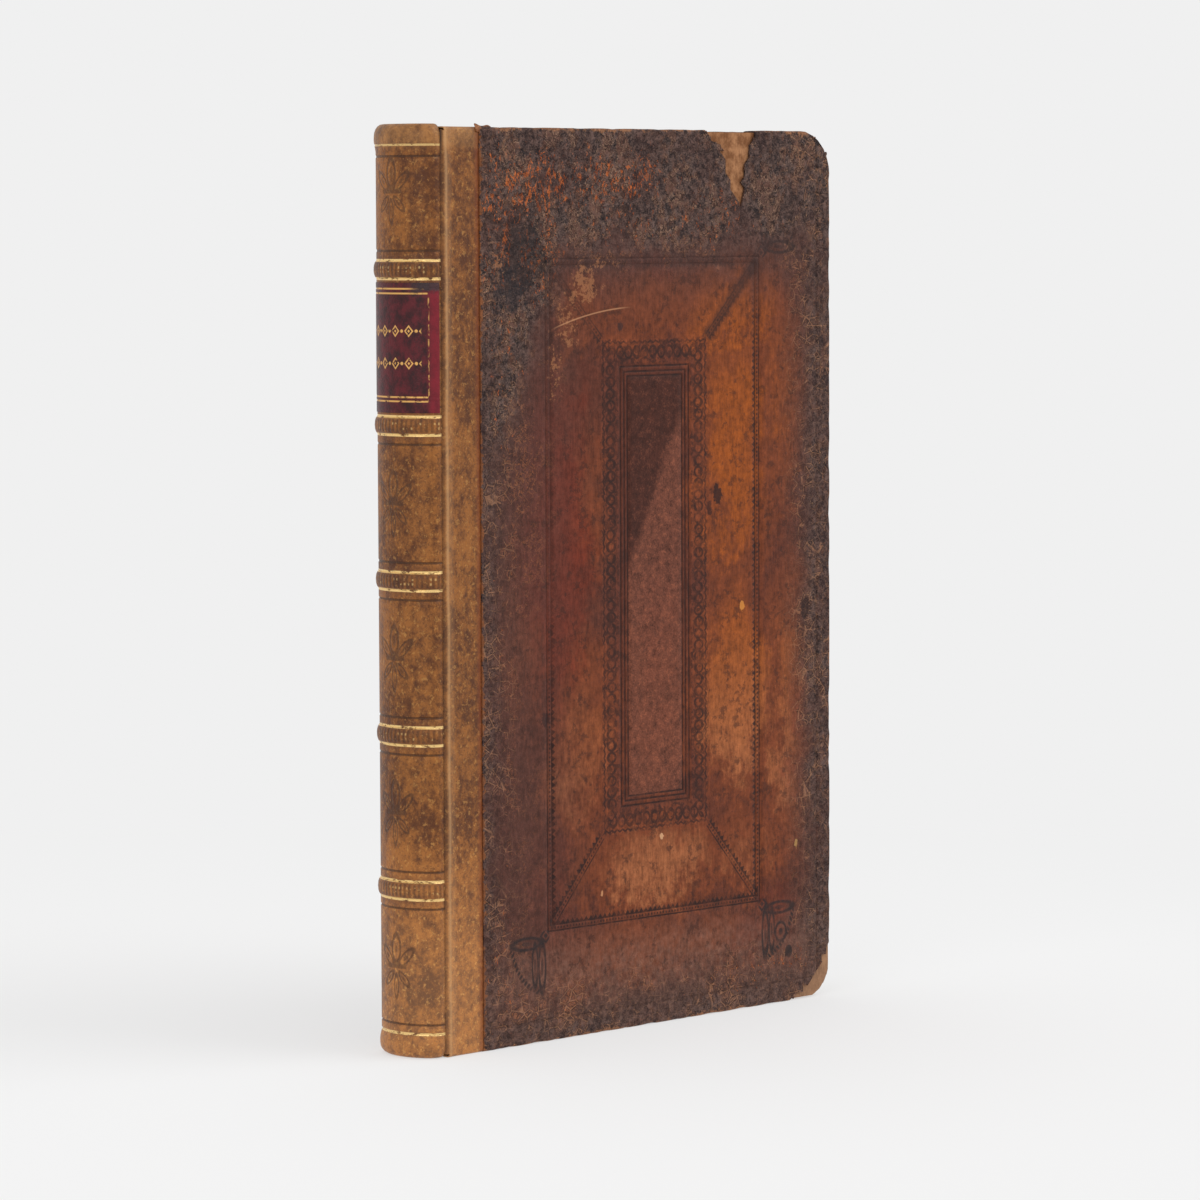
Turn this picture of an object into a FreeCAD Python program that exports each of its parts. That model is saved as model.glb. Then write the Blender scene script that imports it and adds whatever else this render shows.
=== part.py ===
import FreeCAD, Part
import os
import re

import Sketcher

# An antique book in full leather, rebacked in lighter calf, standing on its tail edges.
# +Z is up, +X runs from the spine to the fore edge and the front cover faces -Y.
# Every sketch is drawn with x = 0 at the hinge plane, where the spine meets the boards.
# "Depth" is always counted inwards from the outer face of the old leather on a cover.

DOCUMENT_NAME = "AntiqueBook"
SHEET_NAME = "Sizes"
FRONT, BACK = -1, 1
SIDE_NAMES = {FRONT: "front", BACK: "back"}

# Driving dimensions in millimetres: name, value, meaning.
SIZES = [
    ("board_height", 200.0, "height of the covers"),
    ("cover_reach", 122.5, "from the hinge plane to the fore edge of a cover"),
    ("book_thick", 19.0, "over the old leather of both covers"),
    ("spine_rise", 6.0, "how far the rounded spine stands out past the hinge plane"),
    ("spine_corner", 4.2, "radius where the spine leather turns into the joint"),
    ("old_leather", 0.9, "old calf on the outer face of a cover"),
    ("new_leather", 0.6, "new calf on the spine and its strips on the covers"),
    ("edge_leather", 0.6, "leather where it is pared to go round a board's edge"),
    ("turn_leather", 0.3, "pared leather turned in on a board's inner face"),
    ("turn_in", 14.0, "width of the turn-in"),
    ("board_thick", 2.6, "pasteboard"),
    ("top_corner", 10.0, "rubbed radius of the head corner at the fore edge"),
    ("tail_corner", 8.5, "rubbed radius of the tail corner at the fore edge"),
    ("paper_thick", 0.15, "pastedown paper"),
    ("paste_margin", 4.0, "leather left showing round the pastedown"),
    ("paste_start", 1.5, "from the hinge plane to the pastedown"),
    ("cover_gap", 0.3, "clearance between a cover and the rest of the book"),
    ("glue_gap", 0.05, "clearance between pasted pieces"),
    ("block_square", 3.0, "how far the pages stand back from the covers' edges"),
    ("fore_hollow", 2.5, "depth of the hollow in the pages' fore edge"),
    ("lining_thick", 0.35, "lining pasted on the back of the pages between the cords"),
    ("lining_gap", 0.3, "between a lining and the cord beside it"),
    ("band_raise", 1.1, "how far a raised band stands out at the middle of the spine"),
    ("band_corner", 0.55, "how much fuller a band's corner radius is than the spine's"),
    ("band_width", 3.8, "height of a raised band along the spine"),
    ("band_first", 36.4, "from the tail to the middle of the lowest band"),
    ("band_last", 30.4, "from the head to the middle of the highest band"),
    ("cord_width", 2.2, "height of a sewing cord"),
    ("slip_reach", 12.0, "from the hinge plane to the end of a laced cord slip"),
    ("slip_width", 3.4, "width of a slip, beaten flat"),
    ("slip_depth", 0.8, "thickness of a slip in the face of its board"),
    ("slip_hole", 1.2, "radius of the lacing hole"),
    ("slip_inset", 2.4, "from the end of a slip to its lacing hole's middle"),
    ("cap_depth", 2.6, "how far a headcap reaches in over the endband"),
    ("cap_round", 1.4, "rounding of the headcaps"),
    ("endband_radius", 0.85, "an endband's core with its thread"),
    ("endband_inset", 1.9, "from the spine's outer face to the endband's middle"),
    ("rule_width", 0.5, "a tooled line across the spine"),
    ("rule_depth", 0.14, "how deep a tooled line is pressed"),
    ("gilt_offset", 2.35, "from a band's middle to the gilt lines beside it"),
    ("blind_offset", 4.4, "from a band's middle to the blind lines beside it"),
    ("end_gilt", 5.6, "from the head or tail to its gilt line"),
    ("end_blind", 8.4, "from the head or tail to its blind line"),
    ("label_thick", 0.3, "title label"),
    ("label_margin", 2.75, "from a band's middle to the label's edge"),
    ("label_inset", 1.3, "from the hinge plane to the label's side edges"),
    ("strip_show", 10.6, "width of new calf that shows on a cover"),
    ("strip_lap", 7.4, "new calf tucked under the old leather"),
    ("frame_joint", 30.0, "from the hinge plane to the tooled outer frame"),
    ("frame_fore", 24.1, "from the fore edge to the outer frame"),
    ("frame_head", 28.2, "from the head to the outer frame"),
    ("frame_tail", 25.8, "from the tail to the outer frame"),
    ("frame_width", 2.6, "width of the outer frame's band"),
    ("roll_side", 17.4, "from the outer frame in to the ornamental border, at the sides"),
    ("roll_end", 18.2, "from the outer frame in to that border, at head and tail"),
    ("roll_width", 5.6, "width of the ornamental border round the inner panel"),
    ("roll_depth", 0.1, "how deep that border is pressed"),
    ("panel_step", 1.3, "between the lines round the inner panel"),
    ("mitre_width", 1.8, "width of a mitre line from panel to frame"),
    ("edge_rule", 4.6, "from a cover's edge to the line that runs along it"),
    ("tear_reach", 17.0, "how far the torn patch runs down from the head"),
    ("tear_middle", 89.3, "from the hinge plane to the middle of the torn patch"),
    ("bare_corner_x", 14.0, "lost leather along the tail edge at the fore edge corner"),
    ("bare_corner_z", 12.9, "lost leather up the fore edge at that corner"),
]
BAND_COUNT = 5

# The torn patch as shares of its reach: across from its middle, and down from the head.
TEAR_SHAPE = [
    (-0.50, 0.0),
    (-0.33, 0.16),
    (-0.24, 0.17),
    (-0.14, 0.42),
    (0.02, 0.86),
    (0.20, 1.0),
    (0.24, 0.62),
    (0.36, 0.32),
    (0.50, 0.0),
]

document = FreeCAD.newDocument(DOCUMENT_NAME)
sheet = document.addObject("Spreadsheet::Sheet", SHEET_NAME)


def fill_sheet():
    """Writes each driving dimension in a row of its own, with its name as the alias."""
    for row, (name, value, meaning) in enumerate(SIZES, start=1):
        sheet.set(f"A{row}", name)
        sheet.set(f"B{row}", str(value))
        sheet.set(f"C{row}", meaning)
        sheet.setAlias(f"B{row}", name)
    document.recompute()


def bound(formula):
    """The formula with every size's name pointed at the sheet."""
    return re.sub(r"[a-z][a-z_]*", lambda word: f"{SHEET_NAME}.{word.group()}", formula)


def value(formula):
    """What a formula of sizes comes to now."""
    return float(sheet.evalExpression(bound(formula)))


# Places that several pieces share, as formulas of the sizes.
HINGE_X = "(spine_rise + band_raise - cover_reach) / 2"
BOARD_FACE = "old_leather"
STRIP_FACE = "(old_leather - new_leather)"
BOARD_BACK = "(old_leather + board_thick)"
TURN_BACK = "(old_leather + board_thick + turn_leather)"
PASTE_BACK = "(old_leather + board_thick + turn_leather + paper_thick)"
BLOCK_HALF = f"(book_thick / 2 - {PASTE_BACK} - cover_gap)"
BLOCK_HEAD = "(board_height - block_square)"
SPINE_HALF = f"(book_thick / 2 - {STRIP_FACE})"
BAND_STEP = f"((board_height - band_first - band_last) / {BAND_COUNT - 1})"
LINING_OUT = "(new_leather + glue_gap)"
BLOCK_OUT = "(new_leather + glue_gap + lining_thick)"


def spine_arch(inset):
    """Half width, rise and corner radius of the spine's section, set in by a thickness."""
    return f"{SPINE_HALF} - {inset}", f"spine_rise - {inset}", f"spine_corner - {inset}"


def band_arch(inset):
    """The same for the section through a raised band."""
    rise = f"spine_rise + band_raise - {inset}"
    return f"{SPINE_HALF} - {inset}", rise, f"spine_corner + band_corner - {inset}"


def band_middle(index):
    """Height of a band's middle above the tail. The bands share out the spine evenly."""
    return f"(band_first + {index} * {BAND_STEP})"


def new_body(name):
    """A sub-part whose sketches start at the hinge plane."""
    body = document.addObject("PartDesign::Body", name)
    body.Label = name
    body.setExpression("Placement.Base.x", bound(HINGE_X))
    return body


def new_sketch(body, name, plane, offset):
    """An empty sketch on one of the body's own planes, moved along its normal."""
    sketch = body.newObject("Sketcher::SketchObject", name)
    support = next(f for f in body.Origin.OriginFeatures if f.Role == plane)
    sketch.AttachmentSupport = [(support, "")]
    sketch.MapMode = "FlatFace"
    sketch.setExpression("AttachmentOffset.Base.z", bound(offset))
    return sketch


def constrain(sketch, kind, *places, formula=None):
    """Adds a constraint and, where it is a dimension, ties it to the sheet."""
    if formula is None:
        sketch.addConstraint(Sketcher.Constraint(kind, *places))
        return
    index = sketch.addConstraint(Sketcher.Constraint(kind, *places, value(formula)))
    sketch.setExpression(f"Constraints[{index}]", bound(formula))


def add_polygon(sketch, corners):
    """A closed outline of straight lines. Each corner is a pair of formulas."""
    spots = [FreeCAD.Vector(value(x), value(y), 0) for x, y in corners]
    lines = []
    for start, end in zip(spots, spots[1:] + spots[:1]):
        lines.append(sketch.addGeometry(Part.LineSegment(start, end)))
    for line, following, (x, y) in zip(lines, lines[1:] + lines[:1], corners[1:] + corners[:1]):
        constrain(sketch, "Coincident", line, 2, following, 1)
        constrain(sketch, "DistanceX", -1, 1, following, 1, formula=x)
        constrain(sketch, "DistanceY", -1, 1, following, 1, formula=y)


def rectangle(left, right, low, high):
    """The four corners of an upright rectangle."""
    return [(left, low), (right, low), (right, high), (left, high)]


def add_arch(sketch, half, rise, corner):
    """Three tangent arcs that bulge towards -x, with both ends on the hinge plane."""
    a, b, r = value(half), value(rise), value(corner)
    crown = f"(({half} - ({corner}))^2 + ({rise})^2 - ({corner})^2) / (2 * ({rise} - ({corner})))"
    big = value(crown)
    middle = FreeCAD.Vector(big - b, 0, 0)
    front_centre = FreeCAD.Vector(0, r - a, 0)
    back_centre = FreeCAD.Vector(0, a - r, 0)
    up, down, straight = FreeCAD.Vector(0, 0, 1), -FreeCAD.Vector(0, 1, 0), FreeCAD.Vector(1, 0, 0)
    lean = (front_centre - middle).getAngle(down)
    quarter = down.getAngle(straight)
    arcs = [
        (Part.Circle(front_centre, up, r), 3 * quarter - lean, 3 * quarter),
        (Part.Circle(middle, up, big), quarter + lean, 3 * quarter - lean),
        (Part.Circle(back_centre, up, r), quarter, quarter + lean),
    ]
    front, crest, back = [
        sketch.addGeometry(Part.ArcOfCircle(circle, start, end)) for circle, start, end in arcs
    ]
    constrain(sketch, "Tangent", front, 1, crest, 2)
    constrain(sketch, "Tangent", crest, 1, back, 2)
    for arc, end in ((front, 3), (front, 2), (back, 3), (back, 1)):
        constrain(sketch, "PointOnObject", arc, end, -2)
    constrain(sketch, "DistanceY", front, 2, -1, 1, formula=half)
    constrain(sketch, "DistanceY", -1, 1, back, 1, formula=half)
    constrain(sketch, "Radius", front, formula=corner)
    constrain(sketch, "Equal", front, back)
    constrain(sketch, "Radius", crest, formula=crown)
    return front, back, a


def close_arch(sketch, half, rise, corner):
    """An arch with its chord."""
    front, back, a = add_arch(sketch, half, rise, corner)
    ends = FreeCAD.Vector(0, -a, 0), FreeCAD.Vector(0, a, 0)
    chord = sketch.addGeometry(Part.LineSegment(*ends))
    constrain(sketch, "Coincident", chord, 1, front, 2)
    constrain(sketch, "Coincident", chord, 2, back, 1)


def close_crescent(sketch, outer, inner):
    """The skin between two arches, closed by a short line at each end."""
    front_out, back_out, a_out = add_arch(sketch, *outer)
    front_in, back_in, a_in = add_arch(sketch, *inner)
    for way, out_arc, in_arc, end in ((-1, front_out, front_in, 2), (1, back_out, back_in, 1)):
        ends = FreeCAD.Vector(0, way * a_out, 0), FreeCAD.Vector(0, way * a_in, 0)
        line = sketch.addGeometry(Part.LineSegment(*ends))
        constrain(sketch, "Coincident", line, 1, out_arc, end)
        constrain(sketch, "Coincident", line, 2, in_arc, end)


def pad(body, sketch, length, reverse=False):
    """Thickens a sketch along its normal, or against it."""
    feature = body.newObject("PartDesign::Pad", f"{sketch.Label}_pad")
    feature.Profile = sketch
    feature.Reversed = reverse
    feature.setExpression("Length", bound(length))
    document.recompute()
    return feature


def pocket(body, sketch, length, reverse=False):
    """Cuts a sketch out against its normal, or along it, and makes sure that it cut."""
    before = body.Shape.Volume
    feature = body.newObject("PartDesign::Pocket", f"{sketch.Label}_pocket")
    feature.Profile = sketch
    feature.Reversed = reverse
    feature.setExpression("Length", bound(length))
    document.recompute()
    if not body.Shape.Volume < before:
        raise RuntimeError(f"{body.Label}: {feature.Label} cut nothing")
    return feature


def repeat_at_bands(body, features):
    """Repeats features made for the lowest band at the other bands."""
    pattern = body.newObject("PartDesign::LinearPattern", f"{features[0].Label}_pattern")
    pattern.Originals = features
    upright = next(f for f in body.Origin.OriginFeatures if f.Role == "Z_Axis")
    pattern.Direction = (upright, [""])
    pattern.Occurrences = BAND_COUNT
    pattern.setExpression("Length", bound(f"{BAND_COUNT - 1} * {BAND_STEP}"))
    body.Tip = pattern
    document.recompute()
    return pattern


def round_edges(body, wanted, radius):
    """Fillets the edges that a test picks out."""
    sharp = body.Tip
    picked = [f"Edge{n}" for n, edge in enumerate(sharp.Shape.Edges, start=1) if wanted(edge)]
    fillet = body.newObject("PartDesign::Fillet", f"{body.Label}_rounding")
    fillet.Base = (sharp, picked)
    fillet.setExpression("Radius", bound(radius))
    document.recompute()
    return fillet


# The book block.


def make_text_block():
    """All the pages as one solid: rounded back, shoulders for the boards, hollow fore edge."""
    body = new_body("text_block")
    sketch = new_sketch(body, "block_section", "XY_Plane", "block_square")
    half, rise, corner = spine_arch(BLOCK_OUT)
    front, back, shoulder = add_arch(sketch, half, rise, corner)
    far = value("cover_reach - block_square")
    page = value(BLOCK_HALF)
    hollow = value("fore_hollow")
    spots = {
        "front_shoulder": FreeCAD.Vector(0, -shoulder, 0),
        "front_root": FreeCAD.Vector(0, -page, 0),
        "front_far": FreeCAD.Vector(far, -page, 0),
        "hollow": FreeCAD.Vector(far - hollow, 0, 0),
        "back_far": FreeCAD.Vector(far, page, 0),
        "back_root": FreeCAD.Vector(0, page, 0),
        "back_shoulder": FreeCAD.Vector(0, shoulder, 0),
    }
    front_ledge = sketch.addGeometry(Part.LineSegment(spots["front_shoulder"], spots["front_root"]))
    front_page = sketch.addGeometry(Part.LineSegment(spots["front_root"], spots["front_far"]))
    fore_edge = sketch.addGeometry(Part.Arc(spots["front_far"], spots["hollow"], spots["back_far"]))
    back_page = sketch.addGeometry(Part.LineSegment(spots["back_far"], spots["back_root"]))
    back_ledge = sketch.addGeometry(Part.LineSegment(spots["back_root"], spots["back_shoulder"]))
    # The hollow's arc runs anticlockwise, so it starts at the back page.
    constrain(sketch, "Coincident", front, 2, front_ledge, 1)
    constrain(sketch, "Coincident", front_ledge, 2, front_page, 1)
    constrain(sketch, "Coincident", front_page, 2, fore_edge, 2)
    constrain(sketch, "Coincident", fore_edge, 1, back_page, 1)
    constrain(sketch, "Coincident", back_page, 2, back_ledge, 1)
    constrain(sketch, "Coincident", back_ledge, 2, back, 1)
    constrain(sketch, "Horizontal", front_page)
    constrain(sketch, "Horizontal", back_page)
    constrain(sketch, "PointOnObject", front_page, 1, -2)
    constrain(sketch, "PointOnObject", back_page, 2, -2)
    constrain(sketch, "DistanceY", front_page, 1, -1, 1, formula=BLOCK_HALF)
    constrain(sketch, "DistanceY", -1, 1, back_page, 2, formula=BLOCK_HALF)
    reach = "cover_reach - block_square"
    constrain(sketch, "DistanceX", -1, 1, front_page, 2, formula=reach)
    constrain(sketch, "DistanceX", -1, 1, back_page, 1, formula=reach)
    curve = f"({BLOCK_HALF}^2 + fore_hollow^2) / (2 * fore_hollow)"
    constrain(sketch, "Radius", fore_edge, formula=curve)
    pad(body, sketch, "board_height - 2 * block_square")
    return body


def make_sewing_cord(index):
    """A hemp cord across the back of the pages, flatter towards the joints."""
    body = new_body(f"sewing_cord_{index + 1}")
    sketch = new_sketch(body, "cord_section", "XY_Plane", f"{band_middle(index)} - cord_width / 2")
    close_crescent(sketch, band_arch(LINING_OUT), spine_arch(BLOCK_OUT))
    pad(body, sketch, "cord_width")
    return body


def make_spine_lining(index):
    """One of the linings between the cords, or outside the first and last of them."""
    margin = "cord_width / 2 + lining_gap"
    low = f"{band_middle(index - 1)} + {margin}" if index > 0 else "block_square"
    high = f"{band_middle(index)} - ({margin})" if index < BAND_COUNT else BLOCK_HEAD
    body = new_body(f"spine_lining_{index + 1}")
    sketch = new_sketch(body, "lining_section", "XY_Plane", low)
    close_crescent(sketch, spine_arch(LINING_OUT), spine_arch(BLOCK_OUT))
    pad(body, sketch, f"{high} - ({low})")
    return body


def make_endband(name, height):
    """A corded and sewn endband, bent round the back of the pages under a headcap."""
    body = new_body(name)
    path = new_sketch(body, "endband_path", "XY_Plane", height)
    half, rise, corner = spine_arch("endband_inset")
    add_arch(path, half, rise, corner)
    section = new_sketch(body, "endband_section", "YZ_Plane", "0")
    spot = FreeCAD.Vector(-value(half), value(height), 0)
    ring = Part.Circle(spot, FreeCAD.Vector(0, 0, 1), value("endband_radius"))
    circle = section.addGeometry(ring)
    constrain(section, "Radius", circle, formula="endband_radius")
    constrain(section, "DistanceX", circle, 3, -1, 1, formula=half)
    constrain(section, "DistanceY", -1, 1, circle, 3, formula=height)
    document.recompute()
    pipe = body.newObject("PartDesign::AdditivePipe", f"{name}_pipe")
    pipe.Profile = section
    pipe.Spine = (path, [f"Edge{n + 1}" for n in range(len(path.Shape.Edges))])
    document.recompute()
    return body


def cut_spine_rule(body, name, middle):
    """A line pressed into the leather, right across the spine. It reaches over the bands' rise."""
    sketch = new_sketch(body, name, "XY_Plane", f"{middle} + rule_width / 2")
    close_crescent(sketch, spine_arch("(0 - band_raise)"), spine_arch("rule_depth"))
    return pocket(body, sketch, "rule_width")


def lies_on_cap_rim(edge):
    """Picks the curved edges at the head and the tail of the spine."""
    return edge.BoundBox.ZLength < 1e-6 and edge.Curve.TypeId == "Part::GeomCircle"


def make_spine_leather():
    """The new calf over the spine, with raised bands, tooled lines and turned headcaps."""
    body = new_body("spine_leather")
    skin = new_sketch(body, "spine_section", "XY_Plane", "0")
    close_arch(skin, *spine_arch("0"))
    pad(body, skin, "board_height")
    round_edges(body, lies_on_cap_rim, "cap_round")

    # A band swells from the skin to its full height over the outer quarters of its width.
    sections = []
    for share, swell in ((0.0, 0.0), (0.2, 0.75), (0.5, 1.0), (0.8, 0.75), (1.0, 0.0)):
        low = f"{band_middle(0)} - band_width / 2 + {share} * band_width"
        section = new_sketch(body, f"band_section_{len(sections)}", "XY_Plane", low)
        half, rise, corner = spine_arch("0")
        rise = f"{rise} + {swell} * band_raise"
        corner = f"{corner} + {swell} * band_corner"
        close_arch(section, half, rise, corner)
        sections.append(section)
    band = body.newObject("PartDesign::AdditiveLoft", "band")
    band.Profile = sections[0]
    band.Sections = sections[1:]
    band.Ruled = False
    document.recompute()
    lines = [
        cut_spine_rule(body, f"rule_{name}", f"{band_middle(0)} {way} {offset}")
        for name, way, offset in (
            ("gilt_below", "-", "gilt_offset"),
            ("gilt_above", "+", "gilt_offset"),
            ("blind_below", "-", "blind_offset"),
            ("blind_above", "+", "blind_offset"),
        )
    ]
    repeat_at_bands(body, [band] + lines)
    cut_spine_rule(body, "rule_tail_gilt", "end_gilt")
    cut_spine_rule(body, "rule_tail_blind", "end_blind")
    cut_spine_rule(body, "rule_head_gilt", "board_height - end_gilt")
    cut_spine_rule(body, "rule_head_blind", "board_height - end_blind")

    hollow = new_sketch(body, "spine_hollow", "XY_Plane", "board_height - new_leather")
    close_arch(hollow, *spine_arch("new_leather"))
    pocket(body, hollow, "board_height - 2 * new_leather")
    channel_top = f"{band_middle(0)} + cord_width / 2 + glue_gap"
    channel = new_sketch(body, "cord_channel", "XY_Plane", channel_top)
    close_arch(channel, *band_arch("new_leather"))
    repeat_at_bands(body, [pocket(body, channel, "cord_width + 2 * glue_gap")])
    mouth = new_sketch(body, "cap_mouth", "XY_Plane", "board_height")
    close_arch(mouth, *spine_arch("cap_depth"))
    pocket(body, mouth, "board_height")

    return body


def make_title_label():
    """A thin leather label in the second space from the head."""
    low = f"{band_middle(BAND_COUNT - 2)} + label_margin"
    high = f"{band_middle(BAND_COUNT - 1)} - label_margin"
    body = new_body("title_label")
    sketch = new_sketch(body, "label_section", "XY_Plane", low)
    close_crescent(sketch, spine_arch("(0 - label_thick)"), spine_arch("0"))
    pad(body, sketch, f"{high} - ({low})")
    sides = new_sketch(body, "label_sides", "XY_Plane", high)
    wide = "book_thick"
    add_polygon(sides, rectangle("0 - label_inset", "label_inset", f"0 - {wide}", wide))
    pocket(body, sides, f"{high} - ({low})")
    return body


# The covers. side is FRONT or BACK.


def cover_sketch(body, name, side, depth):
    """A sketch in the plane at a depth below a cover's outer face, x along and y up."""
    # The XZ plane's normal points to -Y, the way that the front cover faces.
    way = "" if side == FRONT else "0 - "
    return new_sketch(body, name, "XZ_Plane", f"{way}(book_thick / 2 - ({depth}))")


def pad_inwards(body, side, sketch, thickness):
    return pad(body, sketch, thickness, reverse=side == FRONT)


def cut_inwards(body, side, sketch, depth):
    return pocket(body, sketch, depth, reverse=side == BACK)


def add_cover_outline(sketch, left, inset):
    """A cover's outline with its two rubbed corners at the fore edge, set in all round."""
    right, high = f"cover_reach - {inset}", f"board_height - {inset}"
    low, top_round, tail_round = f"{inset}", f"top_corner - {inset}", f"tail_corner - {inset}"
    x0, x1, z0, z1 = value(left), value(right), value(low), value(high)
    head, tail = value(top_round), value(tail_round)
    slant = 2**-0.5

    def spot(x, z):
        return FreeCAD.Vector(x, z, 0)

    tail_bend = spot(x1 - tail * (1 - slant), z0 + tail * (1 - slant))
    head_bend = spot(x1 - head * (1 - slant), z1 - head * (1 - slant))
    shapes = [
        Part.LineSegment(spot(x0, z0), spot(x1 - tail, z0)),
        Part.Arc(spot(x1 - tail, z0), tail_bend, spot(x1, z0 + tail)),
        Part.LineSegment(spot(x1, z0 + tail), spot(x1, z1 - head)),
        Part.Arc(spot(x1, z1 - head), head_bend, spot(x1 - head, z1)),
        Part.LineSegment(spot(x1 - head, z1), spot(x0, z1)),
        Part.LineSegment(spot(x0, z1), spot(x0, z0)),
    ]
    tail_edge, tail_arc, fore_edge, head_arc, head_edge, joint_edge = [
        sketch.addGeometry(shape) for shape in shapes
    ]
    constrain(sketch, "Tangent", tail_edge, 2, tail_arc, 1)
    constrain(sketch, "Tangent", tail_arc, 2, fore_edge, 1)
    constrain(sketch, "Tangent", fore_edge, 2, head_arc, 1)
    constrain(sketch, "Tangent", head_arc, 2, head_edge, 1)
    constrain(sketch, "Coincident", head_edge, 2, joint_edge, 1)
    constrain(sketch, "Coincident", joint_edge, 2, tail_edge, 1)
    constrain(sketch, "Horizontal", tail_edge)
    constrain(sketch, "Horizontal", head_edge)
    constrain(sketch, "Vertical", fore_edge)
    constrain(sketch, "Vertical", joint_edge)
    constrain(sketch, "Radius", tail_arc, formula=tail_round)
    constrain(sketch, "Radius", head_arc, formula=top_round)
    constrain(sketch, "DistanceX", -1, 1, tail_edge, 1, formula=left)
    constrain(sketch, "DistanceY", -1, 1, tail_edge, 1, formula=low)
    constrain(sketch, "DistanceX", -1, 1, fore_edge, 1, formula=right)
    constrain(sketch, "DistanceY", -1, 1, head_edge, 2, formula=high)


def make_board(side):
    """A pasteboard, with a channel and a hole for each cord slip laced into it."""
    body = new_body(f"{SIDE_NAMES[side]}_board")
    outline = cover_sketch(body, "board_outline", side, BOARD_FACE)
    add_cover_outline(outline, "cover_gap", "edge_leather")
    pad_inwards(body, side, outline, "board_thick")
    half = "(slip_width / 2 + glue_gap)"
    low, high = f"{band_middle(0)} - {half}", f"{band_middle(0)} + {half}"
    channel = cover_sketch(body, "slip_channel", side, BOARD_FACE)
    add_polygon(channel, rectangle("0 - cover_gap", "slip_reach + glue_gap", low, high))
    channel_cut = cut_inwards(body, side, channel, "slip_depth + glue_gap")
    holes = cover_sketch(body, "slip_hole", side, BOARD_FACE)
    middle_x, middle_z = "slip_reach - slip_inset", band_middle(0)
    spot = FreeCAD.Vector(value(middle_x), value(middle_z), 0)
    ring = Part.Circle(spot, FreeCAD.Vector(0, 0, 1), value("slip_hole"))
    circle = holes.addGeometry(ring)
    constrain(holes, "Radius", circle, formula="slip_hole")
    constrain(holes, "DistanceX", -1, 1, circle, 3, formula=middle_x)
    constrain(holes, "DistanceY", -1, 1, circle, 3, formula=middle_z)
    hole_cut = cut_inwards(body, side, holes, "board_thick")
    repeat_at_bands(body, [channel_cut, hole_cut])
    return body


def make_cord_slip(side, index):
    """The end of a sewing cord, beaten flat on its board and laced through it."""
    body = new_body(f"{SIDE_NAMES[side]}_cord_slip_{index + 1}")
    middle = band_middle(index)
    flat = cover_sketch(body, "slip_outline", side, BOARD_FACE)
    low, high = f"{middle} - slip_width / 2", f"{middle} + slip_width / 2"
    add_polygon(flat, rectangle("cover_gap", "slip_reach", low, high))
    pad_inwards(body, side, flat, "slip_depth")
    laced = cover_sketch(body, "laced_end", side, BOARD_FACE)
    spot = FreeCAD.Vector(value("slip_reach - slip_inset"), value(middle), 0)
    ring = Part.Circle(spot, FreeCAD.Vector(0, 0, 1), value("slip_hole - glue_gap"))
    circle = laced.addGeometry(ring)
    constrain(laced, "Radius", circle, formula="slip_hole - glue_gap")
    constrain(laced, "DistanceX", -1, 1, circle, 3, formula="slip_reach - slip_inset")
    constrain(laced, "DistanceY", -1, 1, circle, 3, formula=middle)
    pad_inwards(body, side, laced, "board_thick")
    return body


def frame_sides(side_inset, end_inset):
    """Left, right, low and high of a rectangle set in from the outer frame."""
    left = f"(frame_joint + {side_inset})"
    right = f"(cover_reach - frame_fore - ({side_inset}))"
    low = f"(frame_tail + {end_inset})"
    high = f"(board_height - frame_head - ({end_inset}))"
    return left, right, low, high


def ring(sketch, side_inset, end_inset, width):
    """Two nested rectangles, a width apart, with the outer one set in from the frame."""
    for inset in ("0", width):
        sides = frame_sides(f"{side_inset} + {inset}", f"{end_inset} + {inset}")
        add_polygon(sketch, rectangle(*sides))


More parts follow.
